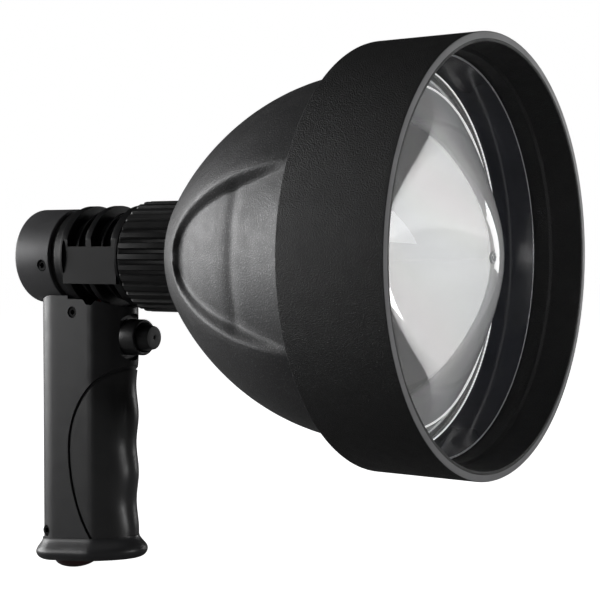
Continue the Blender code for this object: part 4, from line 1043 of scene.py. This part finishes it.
def insert_egg(inset):
    """The finger grip's arched edge, seen from the side: taller below its centre than above."""
    rings = []
    for x in (-GRIP_HALF_WIDTH - OVERRUN, GRIP_HALF_WIDTH + OVERRUN):
        ring = []
        for i in range(FINE):
            turn = math.tau * i / FINE
            height = (INSERT_RISE if turn < math.pi else INSERT_FALL) - inset
            across = (INSERT_REACH - inset) * math.cos(turn)
            ring.append((x, across - INSERT_FORWARD, height * math.sin(turn) - INSERT_DROP))
        rings.append(ring)
    made = bmesh.new()
    grid(made, rings)
    return solid(made)


def seat_outline():
    """The flat behind the button's collar: two half circles, one above the other."""
    outline = []
    for centre, start in ((-BUTTON_DROP + SEAT_RISE, 0), (-BUTTON_DROP - SEAT_RISE, 1)):
        for i in range(SEAT_STEPS + 1):
            turn = math.pi * (start + i / SEAT_STEPS)
            outline.append((SEAT_RADIUS * math.cos(turn), centre + SEAT_RADIUS * math.sin(turn)))
    return outline


def foot_turn():
    """Places and tilts what is built level at the foot."""
    return Matrix.Translation((0.0, -GRIP_REAR_CENTRE, -FOOT_DROP)) @ Matrix.Rotation(-FOOT_SLOPE, 4, "X")


def foot_trim():
    """The tilted block that cuts the grip off where the foot's edge begins."""
    wide = GRIP_HALF_WIDTH + OVERRUN
    trim = block((-wide, -GRIP_FRONT, -BEAD_HEIGHT), (wide, wide, BEAD_HEIGHT + BEAD_CLEARANCE))
    trim.data.transform(foot_turn())
    return trim


def grip_pockets(shell):
    """The tapered gaps under the barrel, cut from side to side."""
    wide = GRIP_HALF_WIDTH + OVERRUN
    for centre in POCKET_CENTRES:
        outline = ((centre - POCKET_HALF_TOP, -POCKET_TOP), (centre - POCKET_HALF_BOTTOM, -POCKET_DROP),
                   (centre + POCKET_HALF_BOTTOM, -POCKET_DROP), (centre + POCKET_HALF_TOP, -POCKET_TOP))
        made = bmesh.new()
        grid(made, [[(x, -forward, z) for forward, z in outline] for x in (-wide, wide)])
        carve(shell, solid(made))


def button_seat(shell):
    """Cuts the flat for the button's collar, and the hole for its shank."""
    made = bmesh.new()
    grid(made, [[(x, -forward, z) for x, z in seat_outline()]
                for forward in (SEAT_FORWARD, SEAT_FORWARD + SEAT_RADIUS)])
    carve(shell, solid(made))
    start = (0.0, -CELL_FRONT_FORWARD, -BUTTON_DROP)
    end = (0.0, -SEAT_FORWARD - OVERRUN, -BUTTON_DROP)
    carve(shell, rod(start, end, COLLAR_SHANK_RADIUS + GAP))


def grip():
    """The grip: hollow for the cells, with a bed for its softer front."""
    shell = grip_solid(0.0)
    bed = insert_egg(0.0)
    carve(bed, grip_solid(INSERT_SKIN + GAP))
    carve(shell, bed)
    made = bmesh.new()
    grid(made, [stadium(CAVITY_HALF_WIDTH, z) for z in (-FOOT_DROP - OVERRUN, 0.0)])
    carve(shell, solid(made))
    reach = GRIP_FRONT + OVERRUN
    profile = [(-OVERRUN, 0.0), (-OVERRUN, CAP_RADIUS + GAP), (BARREL_REAR, CAP_RADIUS + GAP)]
    profile += [(BARREL_REAR, FIN_RADIUS + GAP), (reach, FIN_RADIUS + GAP), (reach, 0.0)]
    carve(shell, disc_solid(profile, NECK))
    grip_pockets(shell)
    button_seat(shell)
    wide = GRIP_HALF_WIDTH + OVERRUN
    for forward, z in (GRIP_SCREW, FOOT_SCREW):
        carve(shell, rod((-wide, -forward, z), (wide, -forward, z), HEAD_RADIUS + GAP, SCREW))
    carve(shell, foot_trim())
    carved_piece("grip_moulding", shell, "grip_plastic", "lamp_body", "grip_shell", bevel=GRIP_BEVEL)


def finger_grip():
    """The softer front: a skin of the grip's outside within the arched edge."""
    front = grip_solid(0.0)
    carve(front, insert_egg(INSERT_SEAM), "INTERSECT")
    carve(front, grip_solid(INSERT_SKIN))
    carve(front, foot_trim())
    carved_piece("finger_grip_moulding", front, "grip_rubber", "lamp_body", "finger_grip",
                 bevel=INSERT_BEVEL)


def bead_profile():
    """How far the foot stands out at each height: a rounded edge, then a hollow flare."""
    profile = []
    steps = QUARTER_STEPS
    for i in range(steps + 1):
        turn = math.pi / 2 * i / steps
        out = (BEAD_BULGE + FOOT_UNDERCUT) * math.sin(turn) - FOOT_UNDERCUT
        profile.append((BEAD_WIDEST * (1 - math.cos(turn)), out))
    for i in range(1, steps + 1):
        share = i / steps
        z = BEAD_WIDEST + (BEAD_HEIGHT - BEAD_WIDEST) * share
        profile.append((z, BEAD_BULGE * (1 - share) ** 2 * (1 + 2 * share)))
    return profile


def foot():
    """The foot's rolled edge, and its boss in the grip, bored for the charging socket."""
    flat_end = GRIP_FLAT_END - GRIP_REAR_CENTRE
    front = FOOT_FRONT - GRIP_REAR_CENTRE
    made = bmesh.new()
    grid(made, [grip_section(GRIP_HALF_WIDTH + bulge, 0.0, flat_end, front + bulge, z)
                for z, bulge in bead_profile()])
    cap = solid(made)
    cap.data.transform(foot_turn())
    made = bmesh.new()
    grid(made, [stadium(BOSS_HALF_WIDTH, z) for z in (-FOOT_DROP + BEAD_HEIGHT / 2, -BOSS_TOP)])
    carve(cap, solid(made), "UNION")
    bore = rod((0.0, -SOCKET_FORWARD, -OVERRUN),
               (0.0, -SOCKET_FORWARD, SOCKET_HIGH + GAP + OVERRUN), SOCKET_RADIUS + GAP)
    bore.data.transform(foot_turn())
    carve(cap, bore)
    forward, z = FOOT_SCREW
    for side in (-1, 1):
        start = (side * FOOT_HOLE_ROOT, -forward, z)
        end = (side * (GRIP_HALF_WIDTH + OVERRUN), -forward, z)
        carve(cap, rod(start, end, FOOT_HOLE_RADIUS, COARSE))
    carved_piece("foot_moulding", cap, "grip_plastic", "lamp_body", "foot_cap")


def plug():
    """The domed plug and its stem, tilted with the foot."""
    profile = [(PLUG_STEM, 0.0), (PLUG_STEM, SOCKET_HOLE - GAP), (-GAP, SOCKET_HOLE - GAP)]
    for i in range(QUARTER_STEPS):
        turn = math.pi / 2 * i / QUARTER_STEPS
        profile.append((-GAP - PLUG_DOME * math.sin(turn), PLUG_RADIUS * math.cos(turn)))
    profile.append((-GAP - PLUG_DOME, 0.0))
    made = bmesh.new()
    turned(made, profile, ROUND, (0.0, -SOCKET_FORWARD), True)
    bmesh.ops.transform(made, matrix=foot_turn(), verts=made.verts)
    piece("charge_plug_dome", made, "plug_rubber", "plug_body", "charge_plug")


def switch_collar():
    """The collar on the grip, and its shank with a web for the button's stem."""
    seat = SEAT_FORWARD + GAP
    bore = BUTTON_RADIUS + GAP
    profile = [
        (COLLAR_SHANK_REAR, STEM_RADIUS + GAP),
        (COLLAR_SHANK_REAR, COLLAR_SHANK_RADIUS),
        (seat, COLLAR_SHANK_RADIUS),
        (seat, COLLAR_RADIUS),
        (COLLAR_FRONT, COLLAR_RADIUS),
        (COLLAR_FRONT, bore),
        (COLLAR_WEB_FRONT, bore),
        (COLLAR_WEB_FRONT, STEM_RADIUS + GAP),
    ]
    lathe("switch_collar", profile, "collar_plastic", "lamp_body", "switch_bezel",
          segments=ROUND, round_by=SOFT_ROUND, centre=(0.0, -BUTTON_DROP))


def button():
    """The stepped push button, with a small dimple in its face."""
    profile = [
        (BUTTON_FACE - BUTTON_DOT_DEPTH, 0.0),
        (BUTTON_FACE - BUTTON_DOT_DEPTH, BUTTON_DOT),
        (BUTTON_FACE, BUTTON_DOT * BUTTON_DOT_SHARE),
        (BUTTON_FACE, BUTTON_FACE_RADIUS),
        (COLLAR_FRONT, BUTTON_RADIUS),
        (BUTTON_SKIRT_REAR, BUTTON_RADIUS),
        (BUTTON_SKIRT_REAR, BUTTON_SKIRT_BORE),
        (BUTTON_ROOF, BUTTON_SKIRT_BORE),
        (BUTTON_ROOF, STEM_RADIUS),
        (STEM_REAR, STEM_RADIUS),
        (STEM_REAR, 0.0),
    ]
    lathe("button_moulding", profile, "button_rubber", "button_body", "trigger_button",
          segments=ROUND, round_by=BUTTON_ROUND, centre=(0.0, -BUTTON_DROP))


def press_spring():
    """Gives the button's spring its own copy of its mesh."""
    coil = bpy.data.objects["trigger_spring"]
    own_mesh(coil)


hood()
lens_retainer()
lens_body()
lens_rings()
lens_gate()
head()
focus_ring()
barrel()
rear_cap()
cap_seal()
grip()
finger_grip()
foot()
plug()
switch_collar()
button()
press_spring()

# The CAD's own solids that still show take their materials from the record
slots = {row["node"]: row["material_slot"] for row in frame["record"]["subparts"]}
for name, obj in nodes.items():
    if not obj.hide_render:
        obj.data.materials.clear()
        obj.data.materials.append(MATERIALS[slots[name]])


# The studio

def area(name, place, aim, width, height, watts):
    lamp = bpy.data.lights.new(name, "AREA")
    lamp.shape = "RECTANGLE"
    lamp.size = width
    lamp.size_y = height
    lamp.energy = watts
    obj = bpy.data.objects.new(name, lamp)
    bpy.context.scene.collection.objects.link(obj)
    obj.location = place
    obj.rotation_euler = (Vector(aim) - Vector(place)).to_track_quat("-Z", "Y").to_euler()


def shown_share(tree, seen, through):
    """1 where the camera sees it, and THROUGH_LENS where it is seen through the lens."""
    share = node(tree, "ShaderNodeMath", operation="MULTIPLY_ADD")
    share.inputs[1].default_value = THROUGH_LENS
    tree.links.new(through, share.inputs[0])
    tree.links.new(seen, share.inputs[2])
    return share.outputs[0]


def backdrop():
    """The world: soft light that is stronger on the lit side, and white behind the object."""
    world = bpy.data.worlds.new("studio")
    bpy.context.scene.world = world
    world.use_nodes = True
    tree = world.node_tree
    back = tree.nodes["Background"]
    heading = node(tree, "ShaderNodeVectorMath", operation="DOT_PRODUCT")
    heading.inputs[1].default_value = LIT_SIDE
    tree.links.new(node(tree, "ShaderNodeTexCoord").outputs["Generated"], heading.inputs[0])
    side = spread(tree, heading.outputs["Value"], WORLD_DARK, WORLD_BRIGHT, WORLD_TURN, 1.0)
    tree.links.new(side, back.inputs["Strength"])
    white = node(tree, "ShaderNodeBackground")
    white.inputs["Color"].default_value = (1.0, 1.0, 1.0, 1.0)
    white.inputs["Strength"].default_value = 1.0
    path = node(tree, "ShaderNodeLightPath").outputs
    mix = node(tree, "ShaderNodeMixShader")
    shown = shown_share(tree, path["Is Camera Ray"], path["Is Transmission Ray"])
    tree.links.new(shown, mix.inputs["Fac"])
    tree.links.new(back.outputs["Background"], mix.inputs[1])
    tree.links.new(white.outputs["Background"], mix.inputs[2])
    tree.links.new(mix.outputs["Shader"], tree.nodes["World Output"].inputs["Surface"])


def floor_paint():
    """Pale, and lifted to white where it is seen; darker in what it throws back."""
    paint = bpy.data.materials.new("floor_paint")
    paint.use_nodes = True
    tree = paint.node_tree
    shader = tree.nodes["Principled BSDF"]
    shader.inputs["Roughness"].default_value = FLOOR_ROUGHNESS
    path = node(tree, "ShaderNodeLightPath").outputs
    seen = path["Is Camera Ray"]
    tone = spread(tree, seen, FLOOR_BOUNCE, FLOOR_TONE, 0.0, 1.0)
    tree.links.new(tone, shader.inputs["Base Color"])
    glow = node(tree, "ShaderNodeEmission")
    lift = node(tree, "ShaderNodeMath", operation="MULTIPLY")
    lift.inputs[1].default_value = FLOOR_GLOW
    tree.links.new(shown_share(tree, seen, path["Is Transmission Ray"]), lift.inputs[0])
    tree.links.new(lift.outputs[0], glow.inputs["Strength"])
    both = node(tree, "ShaderNodeAddShader")
    tree.links.new(shader.outputs["BSDF"], both.inputs[0])
    tree.links.new(glow.outputs["Emission"], both.inputs[1])
    tree.links.new(both.outputs["Shader"], tree.nodes["Material Output"].inputs["Surface"])
    return paint


def studio_floor():
    mesh = bpy.data.meshes.new("floor")
    made = bmesh.new()
    bmesh.ops.create_grid(made, x_segments=1, y_segments=1, size=FLOOR_HALF)
    bmesh.ops.translate(made, vec=(0.0, 0.0, FLOOR_Z), verts=made.verts)
    made.to_mesh(mesh)
    made.free()
    mesh.materials.append(floor_paint())
    floor = bpy.data.objects.new("floor", mesh)
    bpy.context.scene.collection.objects.link(floor)


def place_camera():
    optics = bpy.data.cameras.new("camera")
    optics.sensor_width = SENSOR_MM
    optics.lens = FOCAL_MM
    camera = bpy.data.objects.new("camera", optics)
    bpy.context.scene.collection.objects.link(camera)
    camera.location = CAMERA_PLACE
    camera.rotation_euler = Vector(CAMERA_AIM).to_track_quat("-Z", "Y").to_euler()
    bpy.context.scene.camera = camera


for lamp_row in LAMPS:
    area(*lamp_row)
backdrop()
studio_floor()
place_camera()
bpy.context.scene.view_settings.view_transform = "Standard"
